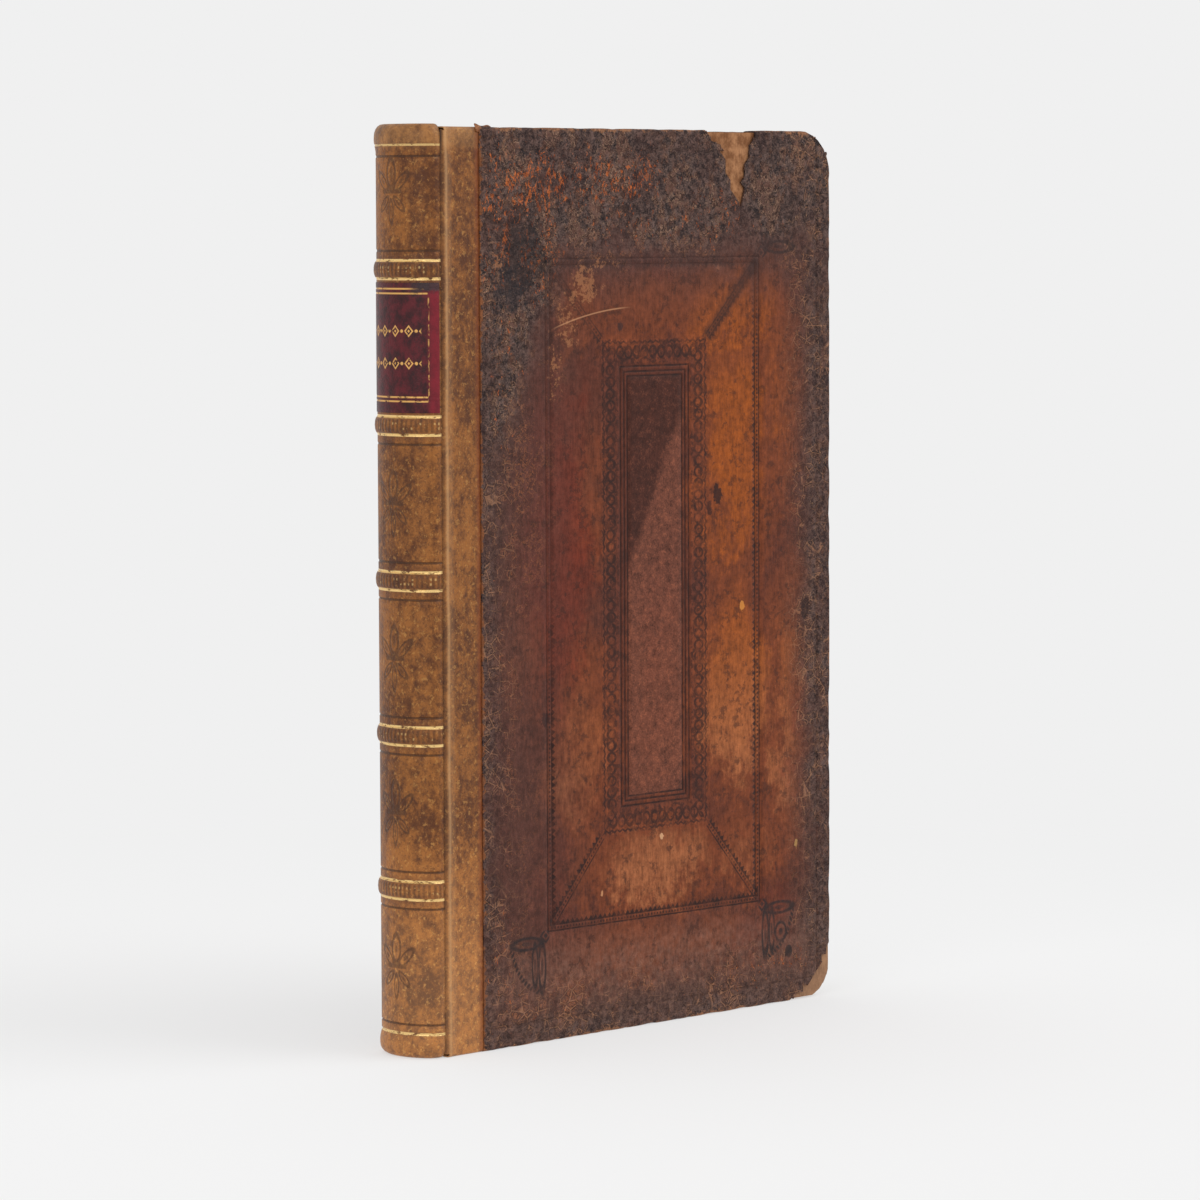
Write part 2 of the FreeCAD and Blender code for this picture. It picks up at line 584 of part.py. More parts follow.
def cut_panel_tooling(body, side):
    """The blind tooled panel: lines, ornamental border, outer frame, mitres and edge line."""
    panel = cover_sketch(body, "panel_lines", side, "0")
    for step in range(2):
        inset = f"roll_width + {step} * panel_step"
        ring(panel, f"roll_side + {inset}", f"roll_end + {inset}", "rule_width")
    cut_inwards(body, side, panel, "rule_depth")

    roll = cover_sketch(body, "roll_border", side, "0")
    ring(roll, "roll_side", "roll_end", "(roll_width - rule_width)")
    cut_inwards(body, side, roll, "roll_depth")

    frame = cover_sketch(body, "frame_lines", side, "0")
    ring(frame, "0", "0", "rule_width")
    ring(frame, "frame_width", "frame_width", "rule_width")
    cut_inwards(body, side, frame, "rule_depth")

    # Each mitre starts and ends inside a line that it meets, so no two cuts only touch.
    mitres = cover_sketch(body, "mitre_lines", side, "0")
    starts = frame_sides("roll_side + rule_width / 2", "roll_end + rule_width / 2")
    ends = frame_sides("frame_width + rule_width / 2", "frame_width + rule_width / 2")
    for x_side, x_in in ((0, "+"), (1, "-")):
        for z_side, z_in in ((2, "+"), (3, "-")):
            end_x, end_z = ends[x_side], ends[z_side]
            corners = [
                (starts[x_side], starts[z_side]),
                (f"{end_x} {x_in} mitre_width", end_z),
                (end_x, end_z),
                (end_x, f"{end_z} {z_in} mitre_width"),
            ]
            add_polygon(mitres, corners)
    cut_inwards(body, side, mitres, "rule_depth")

    # The edge line runs along three sides and passes under the new calf at the fourth.
    line = cover_sketch(body, "edge_line", side, "0")
    far_out, far_in = "cover_reach - edge_rule", "cover_reach - edge_rule - rule_width"
    head_out, head_in = "board_height - edge_rule", "board_height - edge_rule - rule_width"
    inside = "edge_rule + rule_width"
    corners = [
        ("strip_show", "edge_rule"),
        (far_out, "edge_rule"),
        (far_out, head_out),
        ("strip_show", head_out),
        ("strip_show", head_in),
        (far_in, head_in),
        (far_in, inside),
        ("strip_show", inside),
    ]
    add_polygon(line, corners)
    cut_inwards(body, side, line, "rule_depth")


def cut_leather_losses(body, side):
    """The torn patch at the head and the bare corner at the tail, which show the board."""
    tear = cover_sketch(body, "torn_patch", side, "0")
    corners = []
    for across, down in TEAR_SHAPE:
        above = " + glue_gap" if down == 0.0 else ""
        x = f"tear_middle + {across} * tear_reach"
        corners.append((x, f"board_height - {down} * tear_reach{above}"))
    add_polygon(tear, corners)
    cut_inwards(body, side, tear, BOARD_BACK)
    corner = cover_sketch(body, "bare_corner", side, "0")
    far, below = "cover_reach + glue_gap", "0 - glue_gap"
    knee = "cover_reach - 0.3 * bare_corner_x", "0.45 * bare_corner_z"
    add_polygon(
        corner,
        [("cover_reach - bare_corner_x", below), (far, below), (far, "bare_corner_z"), knee],
    )
    cut_inwards(body, side, corner, BOARD_BACK)


def make_cover_leather(side):
    """The old calf: over the face, round three edges and turned in on the inner face."""
    body = new_body(f"{SIDE_NAMES[side]}_leather")
    outline = cover_sketch(body, "leather_outline", side, "0")
    add_cover_outline(outline, "strip_show", "0")
    pad_inwards(body, side, outline, TURN_BACK)
    cavity = cover_sketch(body, "board_space", side, BOARD_FACE)
    add_cover_outline(cavity, "cover_gap", "edge_leather")
    cut_inwards(body, side, cavity, "board_thick")
    window = cover_sketch(body, "turn_in_window", side, BOARD_BACK)
    far, high = "cover_reach - turn_in", "board_height - turn_in"
    add_polygon(window, rectangle("cover_gap", far, "turn_in", high))
    cut_inwards(body, side, window, "turn_leather")
    lap = cover_sketch(body, "strip_rebate", side, STRIP_FACE)
    lap_end, head = "strip_show + strip_lap", "board_height - edge_leather"
    add_polygon(lap, rectangle("cover_gap", lap_end, "edge_leather", head))
    cut_inwards(body, side, lap, "new_leather")
    cut_panel_tooling(body, side)
    if side == FRONT:
        cut_leather_losses(body, side)
    return body


def make_hinge_leather(side):
    """The new calf's strip on a cover: round head and tail, and tucked under the old leather."""
    body = new_body(f"{SIDE_NAMES[side]}_hinge_leather")
    strip = cover_sketch(body, "strip_outline", side, STRIP_FACE)
    add_polygon(strip, rectangle("cover_gap", "strip_show", "0", "board_height"))
    pad_inwards(body, side, strip, f"{TURN_BACK} - {STRIP_FACE}")
    low, high = "edge_leather", "board_height - edge_leather"
    cavity = cover_sketch(body, "board_space", side, BOARD_FACE)
    add_polygon(cavity, rectangle("0", "strip_show + cover_gap", low, high))
    cut_inwards(body, side, cavity, "board_thick")
    window = cover_sketch(body, "turn_in_window", side, BOARD_BACK)
    edges = rectangle("0", "strip_show + cover_gap", "turn_in", "board_height - turn_in")
    add_polygon(window, edges)
    cut_inwards(body, side, window, "turn_leather")
    lap = cover_sketch(body, "strip_lap", side, STRIP_FACE)
    add_polygon(lap, rectangle("strip_show", "strip_show + strip_lap", low, high))
    pad_inwards(body, side, lap, "new_leather")
    return body


def make_pastedown(side):
    """The paper on a cover's inner face: down on the board, and up over the turn-ins."""
    body = new_body(f"{SIDE_NAMES[side]}_pastedown")
    turn = "(turn_in + glue_gap)"
    far, high = f"cover_reach - {turn}", f"board_height - {turn}"
    sunk = cover_sketch(body, "sunk_paper", side, BOARD_BACK)
    add_polygon(sunk, rectangle("paste_start", far, turn, high))
    pad_inwards(body, side, sunk, "turn_leather + paper_thick")
    raised = cover_sketch(body, "raised_paper", side, TURN_BACK)
    margin_far, margin_high = "cover_reach - paste_margin", "board_height - paste_margin"
    add_polygon(raised, rectangle("paste_start", margin_far, "paste_margin", margin_high))
    pad_inwards(body, side, raised, "paper_thick")
    hollow = cover_sketch(body, "sunk_face", side, f"{BOARD_BACK} + paper_thick")
    low = f"{turn} + paper_thick"
    edges = rectangle("0", f"{far} - paper_thick", low, f"{high} - paper_thick")
    add_polygon(hollow, edges)
    cut_inwards(body, side, hollow, "turn_leather")
    return body


def check_document(bodies):
    """Stops if any object failed or any sub-part isn't a sound solid."""
    for item in document.Objects:
        if {"Invalid", "Error"} & set(item.State):
            raise RuntimeError(f"{item.Label} failed: {item.State}")
    for body in bodies:
        shape = body.Shape
        if shape.isNull() or not shape.isValid() or not shape.Solids:
            raise RuntimeError(f"{body.Label} isn't a valid solid")


def build():
    fill_sheet()
    head_height = f"{BLOCK_HEAD} + endband_radius + glue_gap"
    tail_height = "block_square - endband_radius - glue_gap"
    bodies = [
        make_text_block(),
        make_spine_leather(),
        make_title_label(),
        make_endband("head_endband", head_height),
        make_endband("tail_endband", tail_height),
    ]
    bodies += [make_sewing_cord(index) for index in range(BAND_COUNT)]
    bodies += [make_spine_lining(index) for index in range(BAND_COUNT + 1)]
    for side in (FRONT, BACK):
        bodies += [
            make_board(side),
            make_cover_leather(side),
            make_hinge_leather(side),
            make_pastedown(side),
        ]
        bodies += [make_cord_slip(side, index) for index in range(BAND_COUNT)]
    document.recompute()
    check_document(bodies)
    os.makedirs("parts", exist_ok=True)
    for body in bodies:
        body.Shape.exportStep(os.path.join("parts", f"{body.Label}.step"))
    return bodies


build()
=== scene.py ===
# %% [markdown]
# # An antique leather book
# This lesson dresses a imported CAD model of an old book: dark worn calf on its boards, a lighter
# new calf on its spine, a bare dark label and raised bands. Everything is in metres, +Z is up
# and the front cover faces -Y.

import math
import random
from functools import reduce

import bpy
from mathutils import Matrix, Vector, noise


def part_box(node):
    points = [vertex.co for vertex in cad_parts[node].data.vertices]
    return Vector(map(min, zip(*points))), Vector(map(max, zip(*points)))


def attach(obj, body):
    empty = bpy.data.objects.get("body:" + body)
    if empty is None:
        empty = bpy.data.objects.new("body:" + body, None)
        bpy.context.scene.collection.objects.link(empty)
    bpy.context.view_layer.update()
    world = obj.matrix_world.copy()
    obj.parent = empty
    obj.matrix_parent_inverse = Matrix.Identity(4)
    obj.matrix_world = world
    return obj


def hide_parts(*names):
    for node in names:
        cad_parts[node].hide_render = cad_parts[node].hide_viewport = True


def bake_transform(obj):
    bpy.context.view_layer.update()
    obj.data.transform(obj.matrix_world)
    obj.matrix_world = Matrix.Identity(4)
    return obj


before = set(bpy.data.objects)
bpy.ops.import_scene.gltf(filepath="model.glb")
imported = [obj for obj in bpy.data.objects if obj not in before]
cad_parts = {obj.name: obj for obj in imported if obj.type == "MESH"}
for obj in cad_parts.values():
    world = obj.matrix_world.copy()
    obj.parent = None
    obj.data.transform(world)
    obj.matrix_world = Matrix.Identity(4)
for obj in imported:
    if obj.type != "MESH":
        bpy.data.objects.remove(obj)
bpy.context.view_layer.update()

# %% [markdown]
# ## The book's own measures
# The pieces are drawn in millimetres from the hinge plane, where the spine meets the boards,
# because that is how a binder would measure them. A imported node's box gives the places.

# %% Measures
MM = 0.001
SPINE_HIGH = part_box("spine_leather")[1]
COVER_LOW, COVER_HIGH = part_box("front_leather")
STRIP_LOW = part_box("front_hinge_leather")[0]
HINGE_X = SPINE_HIGH[0]
BOOK_HEIGHT = SPINE_HIGH[2] / MM
COVER_REACH = (COVER_HIGH[0] - HINGE_X) / MM
STRIP_EDGE = (COVER_LOW[0] - HINGE_X) / MM
OUTER_FACE = -COVER_LOW[1] / MM
STRIP_FACE = -STRIP_LOW[1] / MM
COVER_BACK = -COVER_HIGH[1] / MM
FRONT, BACK = -1, 1
SIDES = {"front": FRONT, "back": BACK}
FIRST_BAND, BAND_STEP, BAND_COUNT = 36.4, 33.3, 5
BANDS = [FIRST_BAND + index * BAND_STEP for index in range(BAND_COUNT)]
print("cover reach", round(COVER_REACH, 2), "strip edge", round(STRIP_EDGE, 2), "mm")

# %% [markdown]
# ## Tools for drawing skins
# Leather, paper and labels are skins. The way used here is to draw a column of edges upwards
# and then to draw that column out along a path, one extrude at a time, so each row and column
# lies exactly where a tooled line or a band needs it.

# %% Helpers for selecting and drawing


def leave_edit_mode():
    if bpy.context.object and bpy.context.object.mode != "OBJECT":
        bpy.ops.object.mode_set(mode="OBJECT")


def take_up(piece):
    """Makes a piece the only selected one and the active one."""
    leave_edit_mode()
    bpy.ops.object.select_all(action="DESELECT")
    piece.select_set(True)
    bpy.context.view_layer.objects.active = piece


def place(x, y, z):
    """A point given in millimetres from the hinge plane, the middle of the book and the tail."""
    return Vector((HINGE_X + x * MM, y * MM, z * MM))


def measure(point):
    """The millimetres of a point in the frame."""
    return (point[0] - HINGE_X) / MM, point[1] / MM, point[2] / MM


def draw_skin(name, path, heights):
    """Draws a column of edges at the path's start and then draws it out along the path."""
    leave_edit_mode()
    bpy.ops.object.select_all(action="DESELECT")
    bpy.ops.mesh.primitive_plane_add(size=MM)
    piece = bpy.context.object
    piece.name = name
    bpy.ops.object.mode_set(mode="EDIT")
    bpy.ops.mesh.select_mode(type="VERT")
    bpy.ops.mesh.select_all(action="SELECT")
    bpy.ops.mesh.merge(type="CENTER")
    bpy.ops.transform.translate(value=place(path[0][0], path[0][1], heights[0]))
    for low, high in zip(heights, heights[1:]):
        step = (0, 0, (high - low) * MM)
        bpy.ops.mesh.extrude_region_move(TRANSFORM_OT_translate={"value": step})
    bpy.ops.mesh.select_all(action="SELECT")
    for here, there in zip(path, path[1:]):
        step = ((there[0] - here[0]) * MM, (there[1] - here[1]) * MM, 0)
        bpy.ops.mesh.extrude_region_move(TRANSFORM_OT_translate={"value": step})
    bpy.ops.object.mode_set(mode="OBJECT")
    return piece


def pick(piece, kind, rule):
    """Selects the vertices, edges or faces whose middle passes a rule, and enters edit mode."""
    take_up(piece)
    mesh = piece.data
    groups = {"VERT": mesh.vertices, "EDGE": mesh.edges, "FACE": mesh.polygons}
    for group in groups.values():
        group.foreach_set("select", [False] * len(group))
    points = [measure(vertex.co) for vertex in mesh.vertices]

    def middle(corners):
        spots = [points[corner] for corner in corners]
        return tuple(sum(spot[axis] for spot in spots) / len(spots) for axis in range(3))

    if kind == "VERT":
        chosen = [rule(point) for point in points]
    else:
        chosen = [rule(middle(part.vertices)) for part in groups[kind]]
    groups[kind].foreach_set("select", chosen)
    bpy.ops.object.mode_set(mode="EDIT")
    bpy.ops.mesh.select_mode(type=kind)


def grow(step, scale=None, about=(0, 0, 0)):
    """Extrudes the selection by a step in millimetres, and may scale what it drew."""
    move = tuple(part * MM for part in step)
    bpy.ops.mesh.extrude_region_move(TRANSFORM_OT_translate={"value": move})
    if scale:
        bpy.ops.transform.resize(value=scale, center_override=place(*about))


def weigh(piece, name, rule):
    """A vertex group whose weights come from each vertex's place."""
    group = piece.vertex_groups.new(name=name)
    for vertex in piece.data.vertices:
        weight = rule(*measure(vertex.co))
        if weight > 0.0:
            group.add([vertex.index], min(weight, 1.0), "REPLACE")


def apply_modifier(piece, kind, **settings):
    """Adds a modifier, sets it and applies it."""
    take_up(piece)
    modifier = piece.modifiers.new(kind.title(), kind)
    for key, setting in settings.items():
        setattr(modifier, key, setting)
    bpy.ops.object.modifier_apply(modifier=modifier.name)


def press(piece, name, rule, depth, direction="NORMAL"):
    """Moves the vertices that a rule weighs, outwards where depth is above zero."""
    weigh(piece, name, rule)
    apply_modifier(piece, "DISPLACE", strength=depth * MM, mid_level=0.0, direction=direction,
                   vertex_group=name)


def face_outwards(piece, inside):
    """Turns the faces so that they look away from a point inside the piece."""
    take_up(piece)
    away = 0.0
    for face in piece.data.polygons:
        away += face.normal.dot(face.center - inside) * face.area
    if away < 0:
        bpy.ops.object.mode_set(mode="EDIT")
        bpy.ops.mesh.select_all(action="SELECT")
        bpy.ops.mesh.flip_normals()
        bpy.ops.object.mode_set(mode="OBJECT")


def smooth(piece, angle=35):
    take_up(piece)
    bpy.ops.object.shade_smooth_by_angle(angle=math.radians(angle))


HAIR = 0.02


def rows(low, high, step, fine=()):
    """Evenly spaced numbers from low to high with extra ones, none closer than a hair."""
    count = max(1, round((high - low) / step))
    evenly = [low + (high - low) * index / count for index in range(count + 1)]
    extra = sorted({round(number, 4) for number in fine if low < number < high})
    kept = [number for number in evenly if all(abs(number - other) > 0.3 * step for other in extra)]
    kept = sorted(set(kept + extra + [low, high]))
    gaps = [number - before for before, number in zip(kept, kept[1:])]
    return kept[:1] + [number for number, gap in zip(kept[1:], gaps) if gap > HAIR]


def line_cuts(middle, width):
    """Where a skin needs rows or columns to carry one pressed line."""
    offsets = [width / 2 + off for off in (0.12, -0.08)]
    return [middle - off for off in offsets] + [middle + off for off in reversed(offsets)]


# %% [markdown]
# ## Tools for finishes
# A finish here is a graph of nodes. Long graphs are easier to read as sums, so a field wraps a
# node's output and can be added, multiplied and compared like a number. Places come from Object
# coordinates in millimetres, so a pattern stays on the leather when the covers open.

# %% Fields and finishes


def paint(red, green, blue, alpha=1.0):
    """A colour from its usual 0 to 255 numbers, as the linear numbers that shaders want."""
    def linear(part):
        part = part / 255
        return part / 12.92 if part <= 0.04045 else ((part + 0.055) / 1.055) ** 2.4

    return linear(red), linear(green), linear(blue), alpha


class Field:
    """A number that varies over a surface."""

    def __init__(self, finish, socket):
        self.finish = finish
        self.socket = socket

    def __add__(self, other):
        return self.finish.math("ADD", self, other)

    def __sub__(self, other):
        return self.finish.math("SUBTRACT", self, other)

    def __rsub__(self, other):
        return self.finish.math("SUBTRACT", other, self)

    def __mul__(self, other):
        return self.finish.math("MULTIPLY", self, other)

    def __truediv__(self, other):
        return self.finish.math("DIVIDE", self, other)

    __radd__ = __add__
    __rmul__ = __mul__

    def size(self):
        return self.finish.math("ABSOLUTE", self)

    def least(self, other):
        return self.finish.math("MINIMUM", self, other)

    def most(self, other):
        return self.finish.math("MAXIMUM", self, other)

    def wave(self):
        return self.finish.math("SINE", self)

    def under(self, level):
        return self.finish.math("LESS_THAN", self, level)

    def repeat(self, period):
        """Distance from the middle of the nearest repeat."""
        return self.finish.math("PINGPONG", self, period / 2)

    def ramp(self, low, high, start=0.0, end=1.0):
        """Goes smoothly from start to end as the field goes from low to high."""
        node = self.finish.add("ShaderNodeMapRange", interpolation_type="SMOOTHSTEP")
        self.finish.feed(node.inputs["Value"], self)
        for key, number in (("From Min", low), ("From Max", high), ("To Min", start), ("To Max", end)):
            self.finish.feed(node.inputs[key], number)
        return Field(self.finish, node.outputs["Result"])

    def near(self, level, width, blur=None):
        """One within half a width of a level, and zero beyond it."""
        half = width / 2
        blur = half * 0.5 if blur is None else blur
        return (self - level).size().ramp(half + blur, half - blur)


def strongest(fields):
    """The highest of some fields at each place."""
    return reduce(Field.most, fields)


class Finish:
    """One material, its shader, the colour laid on so far and the helpers that add nodes."""

    def __init__(self, name):
        self.material = bpy.data.materials.new(name)
        self.material.use_nodes = True
        self.tree = self.material.node_tree
        self.shader = self.tree.nodes["Principled BSDF"]
        coordinates = self.add("ShaderNodeTexCoord")
        scaled = self.add("ShaderNodeVectorMath", operation="SCALE")
        self.tree.links.new(coordinates.outputs["Object"], scaled.inputs[0])
        scaled.inputs["Scale"].default_value = 1 / MM
        self.position = scaled.outputs[0]
        parts = self.add("ShaderNodeSeparateXYZ")
        self.tree.links.new(self.position, parts.inputs[0])
        self.across = Field(self, parts.outputs["X"]) - HINGE_X / MM
        self.through = Field(self, parts.outputs["Y"])
        self.up = Field(self, parts.outputs["Z"])

    def add(self, kind, **settings):
        node = self.tree.nodes.new(kind)
        for key, setting in settings.items():
            setattr(node, key, setting)
        return node

    def feed(self, socket, source):
        if isinstance(source, Field):
            source = source.socket
        if isinstance(source, bpy.types.NodeSocket):
            self.tree.links.new(source, socket)
        else:
            socket.default_value = source

    def math(self, operation, *terms):
        node = self.add("ShaderNodeMath", operation=operation)
        for socket, term in zip(node.inputs, terms):
            self.feed(socket, term)
        return Field(self, node.outputs[0])

    def radius(self, x, z):
        """The distance from where both fields are zero."""
        return self.math("SQRT", x * x + z * z)

    def stretched(self, size, seed):
        """Object coordinates divided by a size in millimetres, which may differ by axis."""
        sizes = size if isinstance(size, tuple) else (size, size, size)
        node = self.add("ShaderNodeMapping")
        self.tree.links.new(self.position, node.inputs["Vector"])
        node.inputs["Scale"].default_value = tuple(1 / part for part in sizes)
        node.inputs["Location"].default_value = (seed * 3.7, seed * 5.1, seed * 2.3)
        return node.outputs[0]

    def cloud(self, size, seed=0, detail=3.0, rough=0.55, warp=0.0):
        """Soft noise from about 0.3 to 0.7."""
        node = self.add("ShaderNodeTexNoise")
        self.feed(node.inputs["Vector"], self.stretched(size, seed))
        node.inputs["Scale"].default_value = 1.0
        node.inputs["Detail"].default_value = detail
        node.inputs["Roughness"].default_value = rough
        node.inputs["Distortion"].default_value = warp
        return Field(self, node.outputs["Fac"])

    def cells(self, size, seed=0, feature="DISTANCE_TO_EDGE"):
        node = self.add("ShaderNodeTexVoronoi", feature=feature)
        self.feed(node.inputs["Vector"], self.stretched(size, seed))
        node.inputs["Scale"].default_value = 1.0
        return Field(self, node.outputs["Distance"])

    def attribute(self, name):
        node = self.add("ShaderNodeAttribute", attribute_name=name)
        return Field(self, node.outputs["Fac"])

    def mix(self, factor, under, over):
        node = self.add("ShaderNodeMix", data_type="RGBA")
        self.feed(node.inputs[0], factor)
        self.feed(node.inputs[6], under)
        self.feed(node.inputs[7], over)
        return node.outputs[2]

    def shade(self, colour, factor):
        """A colour made lighter or darker by a field."""
        node = self.add("ShaderNodeVectorMath", operation="SCALE")
        self.feed(node.inputs[0], colour)
        self.feed(node.inputs["Scale"], factor)
        return node.outputs[0]

    def lay(self, factor, over):
        """Lays a colour over what is there, as far as a field says."""
        self.colour = self.mix(factor, self.colour, over)

    def deepen(self, factor):
        """Makes what is there lighter or darker by a field."""
        self.colour = self.shade(self.colour, factor)

    def bump(self, height, depth, under=None, strength=1.0):
        """Relief, with the height field's whole range as deep as depth in millimetres."""
        node = self.add("ShaderNodeBump")
        self.feed(node.inputs["Strength"], strength)
        node.inputs["Distance"].default_value = depth * MM
        self.feed(node.inputs["Height"], height)
        if under:
            self.tree.links.new(under, node.inputs["Normal"])
        return node.outputs[0]

    def set(self, **sockets):
        """Feeds the shader with the colour laid on and with its other inputs."""
        self.feed(self.shader.inputs["Base Color"], self.colour)
        names = {"roughness": "Roughness", "metallic": "Metallic", "normal": "Normal",
                 "specular": "Specular IOR Level"}
        for key, source in sockets.items():
            self.feed(self.shader.inputs[names[key]], source)
        return self.material


PETALS = [
    (0.0, 0.55, 0.20, 0.50, 0), (0.38, 0.30, 0.15, 0.42, -42), (-0.38, 0.30, 0.15, 0.42, 42),
    (0.30, -0.38, 0.12, 0.32, -140), (-0.30, -0.38, 0.12, 0.32, 140), (0.0, -0.62, 0.10, 0.42, 0),
]


def flower(finish, across, up, reach):
    """A pressed flower of petals round a middle, about as far across as two reaches."""
    def petal(x, z, wide, tall, turn):
        angle = math.radians(turn)
        dx, dz = across - x * reach, up - z * reach
        along = dx * math.cos(angle) + dz * math.sin(angle)
        upright = dz * math.cos(angle) - dx * math.sin(angle)
        ring = finish.radius(along / (wide * reach), upright / (tall * reach))
        return ring.near(0.85, 0.35).most(ring.ramp(0.45, 0.15) * 0.8)

    bar = across.size().ramp(0.42 * reach, 0.36 * reach) * up.size().ramp(0.09 * reach, 0.04 * reach)
    return strongest(petal(*shape) for shape in PETALS).most(bar)


# %% [markdown]
# ## The old calf on the boards
# Long handling left this leather orange-brown in the middle and black and crazed towards its
# edges. The finish lays a dark crust with fine cracks and orange flakes, the blind tooled panel
# and a few stains over a warm ground. The cracks get painted shade beside them and pale lips that
# are partly a painted highlight, and the front panel gets a painted diagonal shadow. All of it is
# placed from the hinge plane and the tail, so the same finish works on both covers.

# %% The tooled panel's places
FRAME_LEFT, FRAME_RIGHT = 30.0, COVER_REACH - 24.1
FRAME_LOW, FRAME_HIGH = 24.1, BOOK_HEIGHT - 28.2
ROLL_SIDE, ROLL_END, ROLL_WIDTH = 17.4, 18.2, 5.6
ROLL_DROP = 1.7
MITRE_LENGTH = math.hypot(ROLL_SIDE, ROLL_END)
FRAME_LINES, PANEL_LINES = (0.2, 1.55), (0.35, 1.5, 2.5)
EDGE_RULE, SECOND_RULE = 4.85, 5.95


def frame_gaps(across, up):
    """Distances in from the outer frame's sides and from its ends."""
    side = (across - FRAME_LEFT).least(FRAME_RIGHT - across)
    end = (up - FRAME_LOW).least(FRAME_HIGH - up)
    return side, end


def dog_tooth(gap, along):
    """Two lines with dots between them and a row of teeth, as one tooled fillet."""
    lines = strongest(gap.near(line, 0.34) for line in FRAME_LINES)
    dots = gap.near(0.88, 0.5) * along.repeat(0.95).ramp(0.30, 0.16)
    tooth = (gap - 1.6) + along.repeat(1.45) * 1.35
    teeth = tooth.ramp(1.15, 0.85) * gap.ramp(1.5, 1.6)
    return lines.most(dots).most(teeth)


def mitre_lines(side, end, roll_in=ROLL_END, length=MITRE_LENGTH):
    """Distances from, and along, the lines that join the border's corners to the frame's."""
    return (side * roll_in - end * ROLL_SIDE) / length, (side * ROLL_SIDE + end * roll_in) / length


def panel_marks(finish):
    """The tooled lines and patterns as fields, and the distances that place them."""
    wobble = (finish.cloud(7.0, 5) - 0.5) * 0.25
    across, up = finish.across + wobble, finish.up + wobble
    side, end = frame_gaps(across, up)
    low = up.under((FRAME_LOW + FRAME_HIGH) / 2)
    roll_in, length = ROLL_END + low * ROLL_DROP, MITRE_LENGTH + low * ROLL_DROP * 0.72
    upright = side.under(end)
    along = up * upright + across * (1.0 - upright)
    gap = side.least(end)
    frame_line = dog_tooth(gap, along)
    lean, along_mitre = mitre_lines(side, end, roll_in, length)
    reach = along_mitre.ramp(1.6, 2.2) * along_mitre.ramp(length, length - 0.6)
    mitre = dog_tooth(0.9 - lean, along_mitre) * reach
    roll_side, roll_end = side - ROLL_SIDE, end - roll_in
    roll_gap = roll_side.least(roll_end)
    roll_upright = roll_side.under(roll_end)
    roll_along = up * roll_upright + across * (1.0 - roll_upright)
    inside_roll = roll_gap.ramp(-0.3, 0.1) * roll_gap.ramp(ROLL_WIDTH, ROLL_WIDTH - 0.4)
    share = (roll_gap - ROLL_WIDTH / 2) / (ROLL_WIDTH / 2)
    phase = roll_along * (math.pi / 2.6)
    vine = (share - phase.wave() * 0.42).size().ramp(0.24, 0.1)
    curl_x = roll_along.repeat(5.2) - 1.3
    curl = finish.radius(curl_x, share * 2.3).near(1.05, 0.5)
    leaves = (finish.cloud(0.9, 11, detail=1.0)).ramp(0.50, 0.58)
    scallop = (roll_gap - 0.1 - roll_along.repeat(1.7) * 0.55).near(0.25, 0.5)
    roll = vine.most(curl).most(leaves * 0.75).most(scallop) * inside_roll
    panel = strongest(roll_gap.near(ROLL_WIDTH + line, 0.42) for line in PANEL_LINES)
    edge_gap = (COVER_REACH - finish.across).least(finish.up).least(BOOK_HEIGHT - finish.up)
    edge_lines = edge_gap.near(EDGE_RULE, 0.4).most(edge_gap.near(SECOND_RULE, 0.3) * 0.6)
    return frame_line, mitre, roll, panel, edge_lines, roll_gap, inside_roll, gap


def mitre_band(side, end):
    """A soft band along the four lines that join the border's corners to the frame's."""
    lean, along = mitre_lines(side, end)
    ends = along.ramp(0.0, 2.0) * along.ramp(MITRE_LENGTH + 1.0, MITRE_LENGTH - 1.0)
    return lean.near(0.0, 3.0, 1.2) * ends


# Soft places on the cover: middle, half width and half height in millimetres, and strength.
WARM_PLACES = [
    (90.0, 128.0, 17.0, 46.0, 0.90), (90.0, 158.0, 26.0, 15.0, 0.80), (106.0, 142.0, 13.0, 36.0, 0.62),
    (64.0, 160.0, 36.0, 12.0, 0.42), (40.0, 160.0, 12.0, 10.0, 0.45), (91.0, 74.0, 18.0, 38.0, 0.95),
    (45.0, 118.0, 10.0, 24.0, 0.40), (42.0, 66.0, 14.0, 32.0, 0.66), (64.0, 36.0, 32.0, 15.0, 0.80),
    (93.0, 36.0, 18.0, 16.0, 0.60), (62.0, 17.0, 46.0, 12.0, 0.44), (65.0, 72.0, 16.0, 30.0, 0.45),
    (22.0, 92.0, 10.0, 34.0, 0.32), (110.0, 66.0, 12.0, 48.0, 0.85),
]
RED_PLACES = [
    (112.0, 62.0, 8.0, 26.0, 0.6), (32.0, 112.0, 18.0, 56.0, 0.85), (62.0, 172.0, 30.0, 7.0, 0.5),
    (32.0, 34.0, 12.0, 22.0, 0.35), (100.0, 18.0, 18.0, 10.0, 0.45), (66.0, 84.0, 10.0, 40.0, 0.4),
]
FLAKE_PLACES = [
    (26.0, 187.0, 20.0, 12.0, 1.0), (15.0, 182.0, 7.0, 24.0, 0.95), (50.0, 189.0, 26.0, 9.0, 0.9),
    (28.0, 172.0, 16.0, 14.0, 0.85), (82.0, 180.0, 14.0, 12.0, 0.6), (58.0, 179.0, 22.0, 11.0, 0.55),
    (18.0, 150.0, 8.0, 26.0, 0.5), (36.0, 156.0, 10.0, 16.0, 0.55), (104.0, 9.0, 18.0, 8.0, 0.6),
    (22.0, 20.0, 14.0, 18.0, 0.5),
]
